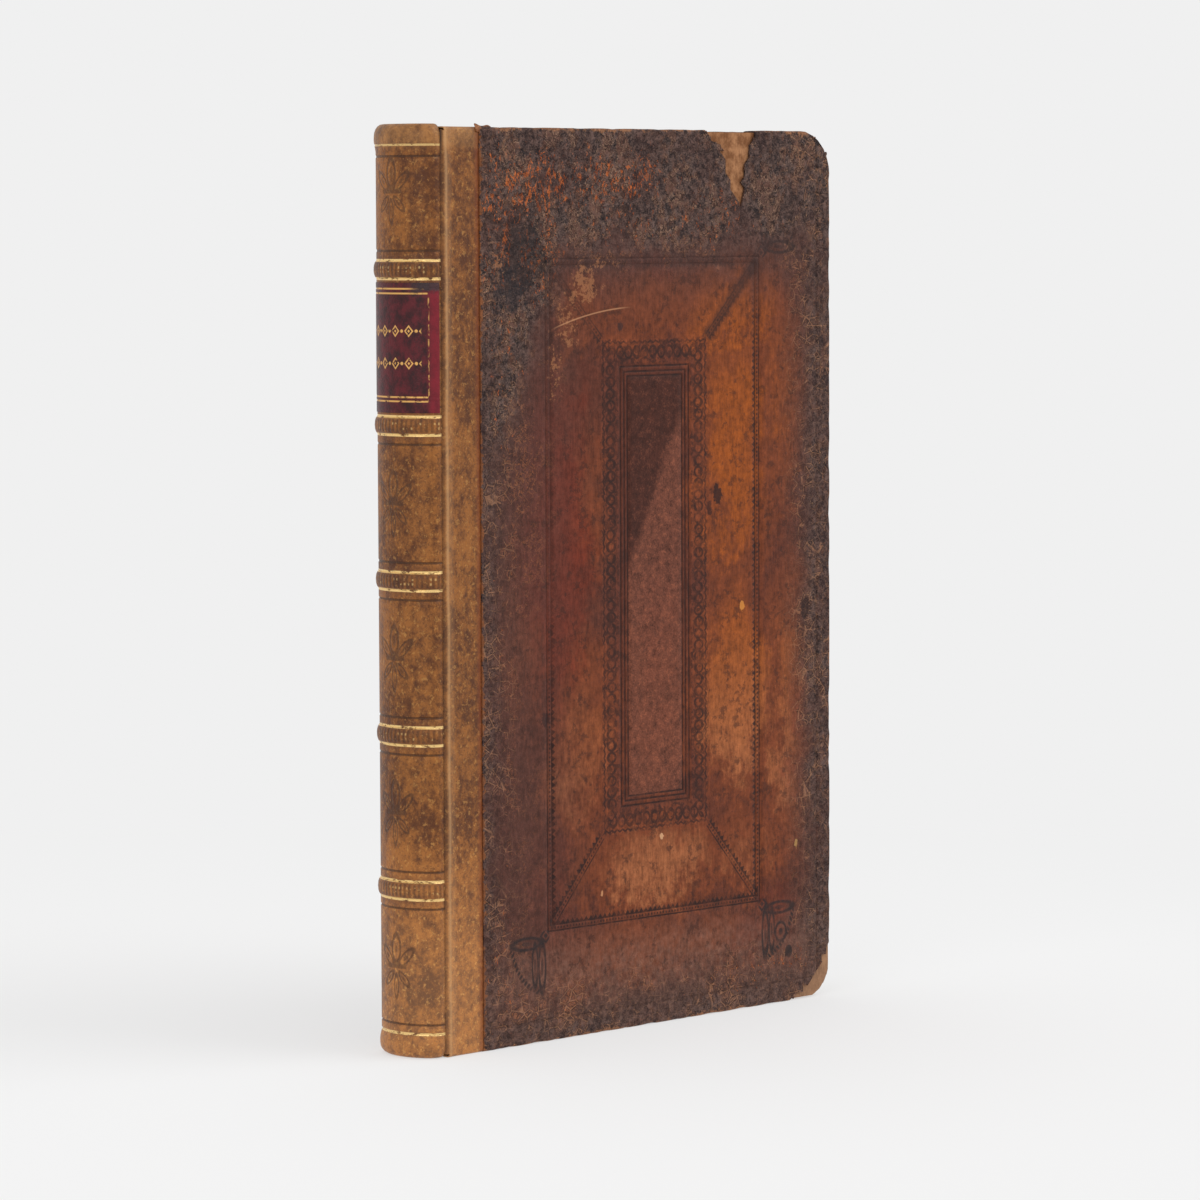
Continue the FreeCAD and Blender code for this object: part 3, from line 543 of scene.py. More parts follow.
SCUFF_PLACES = [
    (42.5, 166.0, 6.5, 6.0, 1.0), (37.0, 158.0, 5.0, 8.0, 0.75), (33.0, 148.0, 3.5, 10.0, 0.6),
    (16.0, 171.0, 3.0, 3.0, 0.9), (48.0, 171.0, 6.0, 3.0, 0.6),
]
# Single spots on the front cover, with their colours.
STAINS = [
    (84.4, 118.1, 1.4, 2.0, 0.85, (46, 28, 26)), (81.8, 115.4, 0.8, 1.6, 0.7, (46, 28, 26)),
    (113.8, 91.1, 1.6, 2.4, 0.75, (44, 30, 30)), (53.5, 156.8, 0.9, 1.3, 0.7, (52, 38, 38)),
    (29.5, 71.0, 1.2, 1.6, 0.6, (44, 28, 28)), (24.0, 172.5, 7.0, 8.0, 0.5, (40, 36, 38)),
    (19.5, 165.0, 4.5, 5.0, 0.5, (40, 38, 42)), (110.5, 36.5, 0.5, 0.8, 0.7, (176, 138, 84)),
    (66.0, 42.0, 0.55, 0.8, 0.85, (206, 158, 118)), (47.0, 31.0, 0.45, 0.6, 0.8, (198, 140, 98)),
    (92.5, 92.5, 0.8, 1.0, 0.8, (204, 132, 60)),
]


def soft_places(finish, across, up, places):
    """One field for a list of soft rounded places."""
    return strongest(
        finish.radius((across - x) / wide, (up - z) / tall).ramp(1.15, 0.2) * strength
        for x, z, wide, tall, strength in places
    )


def corner_fan(finish, out_x, out_z):
    """A pressed corner ornament: a knot, two leaves, an arc of beads and a flower in between."""
    def ellipse(x, z, wide, tall):
        return finish.radius((out_x - x) / wide, (out_z - z) / tall)

    knot = (out_x - 0.6).size() + (out_z - 0.6).size()
    marks = knot.near(1.5, 0.7, 0.2).most(knot.ramp(0.8, 0.4))
    for shape in ((6.4, 1.9, 5.2, 1.5), (1.7, 7.4, 1.2, 6.2), (3.9, 7.0, 1.0, 5.4)):
        leaf = ellipse(*shape)
        marks = marks.most(leaf.near(0.85, 0.42, 0.15)).most(leaf.ramp(0.4, 0.2) * 0.7)
    arc = finish.math("SQRT", out_x * out_x + out_z * out_z * 0.72)
    beads = (out_x - out_z).repeat(1.5).ramp(0.1, 0.5)
    inside = out_x.ramp(1.5, 3.0) * out_z.ramp(1.5, 3.0)
    marks = marks.most(arc.near(11.2, 1.0, 0.25) * beads * inside)
    flower_ring = ellipse(6.9, 7.6, 2.0, 2.4)
    clear = finish.across.ramp(50.0, 80.0, 0.3, 1.0)
    marks = marks.most(flower_ring.near(0.9, 0.3, 0.12).most(flower_ring.ramp(0.45, 0.25)) * clear)
    bulb = ellipse(9.6, 12.4, 1.5, 1.7)
    return marks.most(bulb.ramp(1.0, 0.7) * clear) * out_x.ramp(-0.8, -0.2) * out_z.ramp(-0.8, -0.2)


def lay_stains(finish, ragged, pores):
    """The front cover's single spots, its scuffed place and its long scratch."""
    across, up = finish.across, finish.up
    for x, z, wide, tall, strength, tone in STAINS:
        spot = finish.radius((across - x) / wide, (up - z) / tall) + ragged * 4.0
        finish.lay(spot.ramp(1.05, 0.85) * strength, paint(*tone))
    zone = soft_places(finish, across, up, SCUFF_PLACES)
    scuffs = (ragged + pores * 0.3 + zone * 0.2).ramp(0.13, 0.19) * zone.ramp(0.0, 0.15)
    finish.lay(scuffs * 0.52, paint(168, 112, 74))
    bow = (across - 44.5) * (across - 44.5) * 0.006
    scratch = (up - 157.2 - (across - 32.3) * 0.181 + bow).near(0.0, 0.3)
    scratch = scratch * across.ramp(31.5, 36.0) * across.ramp(57.5, 52.0)
    finish.lay(scratch * 0.62, paint(190, 138, 100))


def old_calf_finish(name, stained_and_shadowed):
    finish = Finish(name)
    across, up = finish.across, finish.up
    broad = finish.cloud(13.0, 4, detail=4.0)
    drift = broad - 0.5
    blotch = finish.cloud((4.0, 4.0, 5.0), 3, detail=5.0, rough=0.75) - 0.5
    grain = finish.cloud((0.6, 0.6, 3.2), 2, detail=3.0, rough=0.75) - 0.5
    pores = finish.cloud(0.4, 15, detail=3.0, rough=0.7) - 0.5
    ragged = finish.cloud(2.4, 9, detail=5.0, rough=0.75) - 0.5
    moved_x, moved_z = across + drift * 22.0 + ragged * 8.0, up + blotch * 24.0 + drift * 20.0
    # Warm ground: a deep red brown that turns orange where hands have rubbed it.
    warmth = soft_places(finish, moved_x, moved_z, WARM_PLACES) + blotch * 0.6 + grain * 0.3
    finish.colour = finish.mix(warmth.ramp(0.0, 0.5), paint(88, 46, 34), paint(114, 58, 34))
    bright = finish.mix(up.ramp(100.0, 40.0), paint(146, 74, 26), paint(158, 96, 60))
    finish.lay(warmth.ramp(0.45, 1.05), bright)
    redness = soft_places(finish, moved_x, moved_z, RED_PLACES) + blotch * 0.6
    finish.lay(redness.ramp(0.1, 0.9) * 0.7, paint(112, 40, 22))
    # Darkening: soot and polish lie on the joint side, at the head and along the edges.
    shift = drift * 34.0
    soot_joint = (across - shift * 0.5).ramp(50.0, 15.0) * (0.55 + up.ramp(60.0, 150.0) * 0.3)
    soot_head = (up + shift * 0.4).ramp(154.0, 178.0) * 0.8
    soot_fore = (across + shift * 0.3).ramp(103.0, 117.0) * 0.75
    soot_tail = (up + shift * 0.3).ramp(14.0, 3.0) * 0.7
    soot = soot_joint.most(soot_head).most(soot_fore).most(soot_tail)
    soot = soot + (blotch * 0.6 + ragged * 0.5) * soot
    finish.lay(soot, paint(82, 56, 50))
    finish.lay(up.ramp(27.0, 14.0) * (0.44 + ragged * 1.6), paint(119, 86, 73))
    crust_tone = finish.cloud(1.5, 6, detail=4.0, rough=0.8) - 0.5
    finish.deepen(1.0 + grain * 1.0 + blotch * 0.7 + crust_tone * 1.5 + ragged * 0.7)
    spots = finish.cloud(2.8, 8, detail=4.0, rough=0.75)
    finish.lay(spots.ramp(0.55, 0.64) * 0.55, paint(58, 34, 28))
    # The crust: leather that has gone hard, black and crazed.
    rough_edge = shift * 0.7 + ragged * 12.0
    head = (up + rough_edge * 0.55).ramp(167.0, 181.0)
    joint_reach = up.ramp(118.0, 172.0) * 20.0 + 13.5
    joint = (joint_reach - across + rough_edge * 0.65).ramp(-5.0, 6.0)
    fore = (across + rough_edge * 0.3).ramp(110.5, 118.0)
    tail = (up + rough_edge * 0.4).ramp(9.0, 1.0)
    crust = head.most(joint).most(fore * 0.85).most(tail * 0.8)
    crust_light = (crust_tone + pores * 0.7).ramp(-0.13, 0.13)
    crust_colour = finish.mix(crust_light, paint(36, 31, 33), paint(108, 87, 80))
    warm_crust = (broad * 0.6 + blotch * 1.2).ramp(0.26, 0.40) * 0.5
    crust_colour = finish.mix(warm_crust, crust_colour, paint(106, 68, 52))
    cover = crust * (0.80 + drift * 2.2 + blotch * 1.2).ramp(0.2, 0.95, 0.3, 0.96)
    finish.lay(cover, crust_colour)
    # Creases: the hard skin is crazed. The lips of the cracks are rubbed pale and carry a painted
    # highlight, and painted shade lies in the cracks beside them.
    creases = finish.cloud(1.4, 13, detail=3.0, rough=0.62, warp=0.9) - 0.5
    broken = (ragged + blotch + drift + spots * 0.5).ramp(0.25, 0.37)
    lip = creases.size().ramp(0.040, 0.018) * broken
    valley = (creases - 0.07).size().ramp(0.045, 0.02)
    crack_shade = valley * (broken * 0.6 + 0.4)
    rim = (across - 104.0).ramp(0.0, 12.0).most(up.ramp(18.0, 6.0)).most(across.ramp(26.0, 12.0))
    crazed = crust.most(soot.ramp(0.25, 0.9) * 0.6).most(rim * 0.7)
    # The lips' colour: rubbed pale leather with a painted highlight.
    lip_and_highlight_colour = finish.mix(crust, paint(178, 108, 66), paint(168, 132, 108))
    # Painted shade in the cracks beside the lips, then the lips, partly a painted highlight.
    finish.lay(crack_shade * crazed * 0.55, paint(30, 23, 24))
    finish.lay(lip * crazed * (0.62 - crust * 0.16), lip_and_highlight_colour)
    crackle = finish.cells((2.9, 2.9, 2.4), 31) + ragged * 0.12
    crackled = rim * (0.25 + broken * 0.75) * (ragged + blotch).ramp(-0.22, 0.02)
    # Larger crazing: a band of painted shade beside each crack, then pale crack lines that are partly
    # rubbed leather and partly a painted highlight.
    beside = (crackle - 0.085).size().ramp(0.035, 0.012)
    finish.lay(beside * crackled * 0.45, paint(34, 24, 24))
    finish.lay(crackle.ramp(0.05, 0.02) * crackled * 0.5, paint(172, 124, 92))
    # Flakes: the crust's skin has come off in small upright patches and shows orange leather.
    flake_noise = finish.cloud((0.85, 0.85, 1.6), 7, detail=4.0, rough=0.75, warp=0.7)
    flake_line = 0.69 - soft_places(finish, moved_x, up + shift * 0.3, FLAKE_PLACES) * 0.15
    flakes = (flake_noise - flake_line).ramp(0.0, 0.02) * crazed.ramp(0.2, 0.6)
    flake_tone = (blotch + pores).ramp(-0.12, 0.12)
    flake_colour = finish.mix(flake_tone, paint(128, 62, 36), paint(204, 110, 56))
    finish.lay(flakes * 0.88, flake_colour)
    # Along the joint the old leather is chipped, and the new leather shows in the chips.
    chips = (STRIP_EDGE + 0.35 + ragged * 6.0 + blotch * 3.0 - across).ramp(0.0, 0.25)
    finish.lay(chips * 0.85, paint(136, 82, 48))
    # The tooling, darker where the hot tools scorched the leather.
    frame_line, mitre, roll, panel, edge_lines, roll_gap, inside_roll, gap = panel_marks(finish)
    side, end = frame_gaps(across, up)
    inner = roll_gap.ramp(ROLL_WIDTH + 2.0, ROLL_WIDTH + 3.0)
    # On the front a painted diagonal shadow darkens the panel's upper left; on the back the same darker
    # colour follows random tone only.
    panel_shadow_and_tone = (up - 108.0) - (across - 58.0) * 2.0 + shift * 0.15
    panel_shadow_and_tone = panel_shadow_and_tone.ramp(-3.0, 3.0) if stained_and_shadowed else broad.ramp(0.4, 0.6)
    panel_colour = finish.mix(panel_shadow_and_tone, paint(111, 65, 50), paint(64, 35, 28))
    panel_colour = finish.shade(panel_colour, 1.0 + blotch * 1.1 + pores * 2.2 + crust_tone * 2.4)
    fleck = (crust_tone + pores * 0.8).ramp(0.06, 0.2) * (0.5 - panel_shadow_and_tone * 0.3)
    panel_colour = finish.mix(fleck, panel_colour, paint(158, 92, 62))
    finish.lay(inner * 0.74, panel_colour)
    smudge = gap.near(0.9, 2.6, 1.0) * up.ramp(95.0, 168.0) * 0.28
    mitre_smudge = up.ramp(110.0, 150.0) * across.ramp(56.0, 70.0, 0.15, 0.75)
    smudge = smudge.most(mitre_band(side, end) * mitre_smudge)
    finish.lay(smudge * (0.8 + blotch), paint(50, 37, 36))
    finish.deepen(1.0 + inside_roll * 0.16)
    marks = frame_line.most(mitre).most(roll * 0.9).most(panel)
    worn = (spots + ragged).ramp(0.30, 0.58)
    rubbed_off = across.ramp(44.0, 34.0) * up.ramp(66.0, 100.0) * 0.65
    rubbed_off = rubbed_off.most(up.ramp(148.0, 168.0) * 0.62)
    strength = (0.38 + worn * 0.5) * (1.0 - rubbed_off)
    finish.lay(marks * strength, paint(42, 28, 26))
    finish.lay(edge_lines * (1.0 - crust) * 0.4, paint(48, 34, 30))
    rim_gap = (COVER_REACH - across).least(up).least(BOOK_HEIGHT - up)
    rubbed_rim = (ragged * 5.0 + drift * 3.0 + 0.45 - rim_gap).ramp(0.0, 0.3)
    on_face = finish.through.size().ramp(OUTER_FACE - 1.0, OUTER_FACE - 0.3, 0.3, 1.0)
    finish.lay(rubbed_rim * on_face * 0.7, paint(164, 112, 78))
    corner_x, corner_z = (
        (field - (low + high) / 2).size() - (high - low) / 2
        for field, low, high in ((across, FRAME_LEFT, FRAME_RIGHT), (up, FRAME_LOW, FRAME_HIGH))
    )
    ornament = corner_fan(finish, corner_x, corner_z)
    finish.lay(ornament * (0.5 + worn * 0.4) * (1.0 - crust * 0.7), paint(44, 36, 36))
    height = crust_tone * 0.8 + creases.size().ramp(0.05, 0.02) * 0.6 - valley * 0.8
    # The front cover has both the stains and the painted panel shadow.
    if stained_and_shadowed:
        lay_stains(finish, ragged, pores)
    relief = finish.bump(height, 0.3, finish.bump(pores, 0.06), strength=0.15 + crazed * 0.85)
    rough = 0.50 + crust * 0.12 + blotch * 0.3 + flakes * 0.2
    return finish.set(roughness=rough, normal=relief, specular=0.12)


front_calf_finish = old_calf_finish("old_calf_front", stained_and_shadowed=True)
back_calf_finish = old_calf_finish("old_calf_back", stained_and_shadowed=False)
print("old calf finish:", len(front_calf_finish.node_tree.nodes), "nodes")

# %% [markdown]
# ## The new calf on the spine
# The rebacking is a lighter calf, mottled golden brown with dark speckles and a pebbled grain.
# The gold on its lines is a metal laid over the same graph, rubbed off in places. The skin's own
# attribute `girth` gives the distance round the spine, which lines and ornaments follow.

# %% New calf finish
GILT_OFFSET, BLIND_OFFSET = 1.95, 4.0
TAIL_GILT, TAIL_BLIND = 5.3, 7.3
HEAD_GILT, HEAD_BLIND = BOOK_HEIGHT - 3.9, BOOK_HEIGHT - 6.3


def new_calf_finish(name, with_gold):
    finish = Finish(name)
    across, up = finish.across, finish.up
    mottle = finish.cloud((2.2, 2.2, 2.8), 1, detail=7.0, rough=0.8)
    drift = finish.cloud(14.0, 2, detail=3.0)
    speckle = finish.cloud(0.5, 3, detail=3.0)
    tone = mottle + (drift - 0.5) * 0.5
    finish.colour = finish.mix(tone.ramp(0.34, 0.66), paint(84, 44, 17), paint(152, 94, 40))
    finish.lay(speckle.ramp(0.55, 0.66) * 0.5, paint(72, 40, 22))
    pale = finish.cloud(1.0, 5, detail=5.0, rough=0.7).ramp(0.56, 0.64)
    finish.lay(pale * 0.45, paint(192, 138, 72))
    finish.deepen(1.0 + up.ramp(62.0, 16.0) * 0.48)
    finish.lay(up.ramp(52.0, 12.0) * 0.09, paint(214, 180, 138))
    # A painted highlight on the rounded top of the headcap.
    cap_highlight = up.ramp(BOOK_HEIGHT - 5.5, BOOK_HEIGHT - 3.0) * (0.2 + (mottle - 0.4) * 1.2)
    finish.lay(cap_highlight, paint(186, 136, 84))
    pebbles = finish.cells(0.55, 6, feature="F1")
    fine = finish.cloud(0.4, 7, detail=3.0)
    height = fine * 0.5 - pebbles * 0.6
    rough = 0.44 + (mottle - 0.5) * 0.25
    if not with_gold:
        edge = across.ramp(STRIP_EDGE - 1.8, STRIP_EDGE - 0.4)
        finish.lay(edge * 0.6, paint(122, 60, 30))
        # A painted highlight along the raised ridge just past the joint.
        uneven = (drift - 0.5) * 1.6 + (mottle - 0.5) * 0.8
        ridge = (across + uneven * 0.4).near(0.75, 0.8, 0.45) * 0.5
        ridge = ridge.most(across.near(1.2, 2.0, 1.0) * 0.15)
        finish.lay(ridge, paint(204, 158, 110))
        # Painted shade in the joint's groove, deepest at the head.
        joint_shade = across.ramp(0.4, -0.4) * (0.4 + up.ramp(191.0, 198.0) * 0.55)
        finish.lay(joint_shade, paint(54, 32, 20))
        relief = finish.bump(height, 0.11)
        return finish.set(roughness=rough, normal=relief, specular=0.28)
    girth = finish.attribute("girth")
    ends = up.ramp(BANDS[0] - 13.0, BANDS[0] - 12.5) * up.ramp(BANDS[-1] + 13.0, BANDS[-1] + 12.5)
    from_band = finish.math("WRAP", up - BANDS[0], BAND_STEP / 2, -BAND_STEP / 2)
    beside = from_band.size()
    gilt = beside.near(GILT_OFFSET, 0.62, 0.06) * ends
    gilt = gilt.most(up.near(TAIL_GILT, 0.62, 0.06)).most(up.near(HEAD_GILT, 0.45, 0.06) * 0.7)
    blind = beside.near(BLIND_OFFSET, 0.45, 0.1) * ends
    blind = blind.most(up.near(TAIL_BLIND, 0.45, 0.1)).most(up.near(HEAD_BLIND, 0.45, 0.1))
    hatch = girth.repeat(1.05).ramp(0.36, 0.16) * beside.ramp(1.5, 1.2) * ends
    hatch = hatch * (0.7 + girth.ramp(7.0, 11.0) * 0.3)
    from_middle = finish.math("WRAP", up - BANDS[0] - BAND_STEP / 2, BAND_STEP / 2, -BAND_STEP / 2)
    ornament = flower(finish, girth - SPINE_GIRTH / 2, from_middle, 7.0)
    dark = blind.most(hatch * 0.8).most(ornament * 0.8)
    beside_band = beside.near(GILT_OFFSET, 2.2, 0.5) * ends
    finish.lay(beside_band * 0.30, paint(92, 54, 34))
    finish.lay(dark * 0.75, paint(64, 38, 22))
    # Painted shade in the grooves at both joints, deepest at the head.
    joint = girth.ramp(1.6, 0.3).most(girth.ramp(SPINE_GIRTH - 1.6, SPINE_GIRTH - 0.3))
    joint = joint * (0.42 + up.ramp(191.0, 198.0) * 0.5)
    finish.lay(joint, paint(54, 32, 20))
    rubbed = finish.cloud((2.2, 2.2, 0.9), 9, detail=4.0, rough=0.7).ramp(0.62, 0.52)
    gold = gilt * rubbed
    # Gilt dots along the bands, partly real gilt and partly painted highlights on the bands' ribs.
    dots = girth.repeat(0.9).ramp(0.24, 0.12) * beside.near(0.5, 0.5, 0.1) * ends
    gold = gold.most(dots * finish.cloud(1.6, 21).ramp(0.52, 0.6) * 0.4)
    finish.lay(gilt * 0.5, paint(104, 70, 40))
    finish.lay(gold, paint(240, 202, 134))
    height = height - dark * 0.7
    relief = finish.bump(height, 0.12)
    rough = rough + gold * -0.14
    return finish.set(roughness=rough, metallic=gold * 0.6, normal=relief, specular=0.28)


# %% [markdown]
# ## The spine's curve
# The spine's section is three tangent arcs: a tight one at each joint and a wide one over the
# back. Close to each joint the skin dips into a groove, where the cover's strip comes up.

# %% Curves of the spine


def arch_path(half, rise, corner, corner_steps=5, crown_steps=18):
    """Points along the arch in millimetres, from the front joint to the back joint."""
    radius = ((half - corner) ** 2 + rise**2 - corner**2) / (2 * (rise - corner))
    centre = radius - rise
    lean = math.atan2(centre, half - corner)
    points = []
    for step in range(corner_steps):
        angle = lean * step / corner_steps
        points.append((-corner * math.sin(angle), corner - half - corner * math.cos(angle)))
    for step in range(crown_steps + 1):
        angle = lean + (math.pi - 2 * lean) * step / crown_steps
        points.append((centre - radius * math.sin(angle), -radius * math.cos(angle)))
    for step in range(1, corner_steps + 1):
        angle = math.pi - lean + lean * step / corner_steps
        points.append((-corner * math.sin(angle), half - corner - corner * math.cos(angle)))
    return points


def lengths(path):
    """How far along a path each of its points lies."""
    total, along = 0.0, [0.0]
    for here, there in zip(path, path[1:]):
        total += math.dist(here, there)
        along.append(total)
    return along


def note_girth(piece, path):
    """Stores each vertex's distance along the path, for the finish to read."""
    along = dict(zip(((round(x, 3), round(y, 3)) for x, y in path), lengths(path)))
    attribute = piece.data.attributes.new("girth", "FLOAT", "POINT")
    for index, vertex in enumerate(piece.data.vertices):
        x, y, _ = measure(vertex.co)
        nearest = min(along, key=lambda spot: (spot[0] - x) ** 2 + (spot[1] - y) ** 2)
        attribute.data[index].value = along[nearest]


SPINE_HALF, SPINE_RISE, SPINE_CORNER = STRIP_FACE, 6.0, 4.2
GROOVE = [(0.05, 0.80), (-0.3, 0.45), (-0.65, 0.22)]
spine_path = [spot for spot in arch_path(SPINE_HALF, SPINE_RISE, SPINE_CORNER) if spot[0] < -0.8]
spine_path = [(x, inset - SPINE_HALF) for x, inset in GROOVE] + spine_path
spine_path += [(x, SPINE_HALF - inset) for x, inset in reversed(GROOVE)]
SPINE_GIRTH = lengths(spine_path)[-1]
print("spine girth", round(SPINE_GIRTH, 2), "mm over", len(spine_path), "columns")

# %% [markdown]
# ## The spine's skin
# Raised bands are cords under the leather, so the skin swells softly over each. A vertex group
# says how much each row rises and one Displace modifier lifts them all. The gilt and blind lines
# are pressed in the same way. At head and tail the skin is turned over into headcaps.

# %% Spine calf
CAP_ROUND, HEAD_STRETCH = 2.0, 1.3
BAND_RAISE, FULLNESS = 0.6, 0.5
BAND_HALF = 1.85
spine_cuts = []
for band in BANDS:
    spine_cuts += [band + offset for offset in (-1.75, -1.5, -1.2, -0.8, 0, 0.8, 1.2, 1.5, 1.75)]
    for offset in (-BLIND_OFFSET, -GILT_OFFSET, GILT_OFFSET, BLIND_OFFSET):
        spine_cuts += line_cuts(band + offset, 0.5)
END_LINES = (TAIL_GILT, TAIL_BLIND, HEAD_BLIND, HEAD_GILT)
for level in END_LINES:
    spine_cuts += line_cuts(level, 0.5)
spine_rows = rows(CAP_ROUND, BOOK_HEIGHT - CAP_ROUND, 0.8, spine_cuts)
spine_calf = draw_skin("spine_calf", spine_path, spine_rows)
note_girth(spine_calf, spine_path)


def band_swell(x, y, z):
    """How much of a band's height the skin takes: all at its middle, none at its edges."""
    off = min(abs(z - band) for band in BANDS)
    swell = max(0.0, 1.0 - (off / BAND_HALF) ** 2.6)
    to_joint = max(0.0, -x - 0.5)
    return swell * min(1.0, (to_joint / 3.2) ** 0.7)


def spine_lines(x, y, z):
    """Where the skin is pressed by a line."""
    if x > -0.8:
        return 0.0
    from_band = min(abs(z - band) for band in BANDS)
    gaps = [abs(z - level) for level in END_LINES]
    gaps += [abs(from_band - offset) for offset in (GILT_OFFSET, BLIND_OFFSET)]
    return 1.0 if min(gaps) < 0.2 else 0.0


def turn_cap(piece, way):
    """Turns the skin over at the head, where way is 1, or the tail, where it is -1."""
    level = BOOK_HEIGHT - CAP_ROUND if way > 0 else CAP_ROUND
    pick(piece, "VERT", lambda spot: way * (spot[2] - level) > -0.01)
    half, steps = SPINE_HALF, 5
    for step in range(steps):
        here, there = (math.pi / 2 * share / steps for share in (step, step + 1))
        rise = CAP_ROUND * (math.sin(there) - math.sin(here)) * (HEAD_STRETCH if way > 0 else 1.0)
        inset = CAP_ROUND * (math.cos(here) - math.cos(there))
        shrink = (half - inset) / half
        grow((0, 0, way * rise), (shrink, shrink, 1), (0, 0, level))
        half -= inset
    for drop, inset in ((0.05, 0.5), (0.35, 0.5), (0.8, 0.2), (1.2, -0.1)):
        shrink = (half - inset) / half
        grow((0, 0, -way * drop), (shrink, shrink, 1), (0, 0, level))
        half -= inset
    leave_edit_mode()


def cap_swell(x, y, z):
    """How far the headcaps stand out: most a little in from each end, and nothing at the joints."""
    from_end = min(z, BOOK_HEIGHT - z)
    return max(0.0, 1.0 - ((from_end - 2.6) / 2.2) ** 2) * min(1.0, max(0.0, -x - 0.5) / 2.0)


SPINE_INSIDE = place(0, 0, BOOK_HEIGHT / 2)
face_outwards(spine_calf, SPINE_INSIDE)
press(spine_calf, "bands", band_swell, BAND_RAISE)
press(spine_calf, "caps", cap_swell, 0.35)
press(spine_calf, "full", lambda x, y, z: min(1.0, max(0.0, -x - 0.8) / 3.0), FULLNESS)
press(spine_calf, "lines", spine_lines, -0.14)
turn_cap(spine_calf, 1)
turn_cap(spine_calf, -1)
face_outwards(spine_calf, SPINE_INSIDE)
apply_modifier(spine_calf, "SOLIDIFY", thickness=0.45 * MM, offset=-1.0)
smooth(spine_calf, 60)
spine_finish = new_calf_finish("new_calf_spine", with_gold=True)
spine_calf.data.materials.append(spine_finish)
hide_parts("spine_leather")
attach(spine_calf, "book_block")
print("spine calf:", len(spine_calf.data.polygons), "faces")

# %% [markdown]
# ## The strips at the joints
# The same calf runs on across each joint and 10 mm on to the cover. It has to fold when a cover
# opens, so it is a piece of its own. It comes up out of the spine's groove, makes the ridge at
# the board's edge and is turned in at head and tail.

# %% Hinge strips
RIM, STRIP_TURN = 0.8, 13.0
STRIP_PATH = [(-0.65, -0.62), (-0.3, -0.25), (0.05, 0.02), (0.45, 0.17), (0.95, 0.22), (1.5, 0.18),
              (2.2, 0.07), (3.0, 0.0), (4.5, -0.02), (6.5, 0.0), (8.5, 0.0), (10.2, 0.0), (10.9, -0.02)]
strip_finish = new_calf_finish("new_calf_strip", with_gold=False)


def turn_over(piece, side, way, end, depth):
    """Takes a strip's end over a board's edge and turns it in on the board's inner face."""
    pick(piece, "VERT", lambda spot: way * (spot[2] - end) > -0.01 and spot[0] > 0.4)
    steps = 3
    for step in range(steps):
        here, there = (math.pi / 2 * share / steps for share in (step, step + 1))
        rise = RIM * (math.sin(there) - math.sin(here))
        back = RIM * (math.cos(here) - math.cos(there))
        grow((0, -side * back, way * rise))
    grow((0, -side * (depth - 2 * RIM * 0.6), 0))
    grow((0, -side * RIM * 0.3, -way * RIM * 0.35))
    grow((0, 0, -way * STRIP_TURN))
    leave_edit_mode()


def hinge_strip(name, side):
    path = [(x, side * (STRIP_FACE + rise)) for x, rise in STRIP_PATH]
    strip = draw_skin(f"{name}_hinge_calf", path, rows(RIM, BOOK_HEIGHT - RIM, 2.0))
    depth = STRIP_FACE - COVER_BACK
    for way, end in ((1, BOOK_HEIGHT - RIM), (-1, RIM)):
        turn_over(strip, side, way, end, depth)
    face_outwards(strip, place(5, side * (STRIP_FACE - 1.8), BOOK_HEIGHT / 2))
    apply_modifier(strip, "SOLIDIFY", thickness=0.3 * MM, offset=-1.0)
    smooth(strip, 60)
    strip.data.materials.append(strip_finish)
    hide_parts(f"{name}_hinge_leather")
    middle_y = side * STRIP_FACE
    place(-0.4, middle_y, 100)
    place(0.6, middle_y, 100)
    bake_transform(strip)
    return strip


for name, side in SIDES.items():
    strip = hinge_strip(name, side)
    print(strip.name, len(strip.data.polygons), "faces")

# %% [markdown]
# ## The old calf
# Each cover's old calf is one skin: its outer face, rounded edges and turned-in margins. Its
# tooled lines are pressed into a lattice whose rows and columns run along them. The corners are
# rubbed round by planes that trim them, and on the front cover leather is lost in a torn patch at
# the head and at the tail corner.

# %% Cover calf
TOP_CORNER, TAIL_CORNER = 10.0, 8.5
TURN_IN = 11.0
TEAR = [(80.7, 200.2), (82.6, 197.6), (84.2, 197.3), (86.0, 196.6), (86.9, 193.8), (88.2, 189.5),
        (90.0, 185.6), (92.3, 182.9), (92.9, 184.2), (93.2, 189.0), (94.6, 193.2), (95.6, 196.8),
        (97.9, 200.2)]
BARE_CORNER = [(108.4, -0.2), (111.0, 1.6), (114.6, 3.0), (117.2, 5.6), (119.6, 8.0), (121.0, 11.2),
               (122.7, 13.4)]
side_lines = [*FRAME_LINES] + [ROLL_SIDE + ROLL_WIDTH + off for off in PANEL_LINES]
end_lines = [*FRAME_LINES] + [ROLL_END + ROLL_WIDTH + off for off in PANEL_LINES]
column_cuts, row_cuts = line_cuts(COVER_REACH - EDGE_RULE, 0.5), []
for off in side_lines:
    column_cuts += line_cuts(FRAME_LEFT + off, 0.4) + line_cuts(FRAME_RIGHT - off, 0.4)
for off in end_lines:
    drop = ROLL_DROP if off > ROLL_END else 0.0
    row_cuts += line_cuts(FRAME_LOW + off + drop, 0.4) + line_cuts(FRAME_HIGH - off, 0.4)
row_cuts += line_cuts(EDGE_RULE, 0.5) + line_cuts(BOOK_HEIGHT - EDGE_RULE, 0.5)


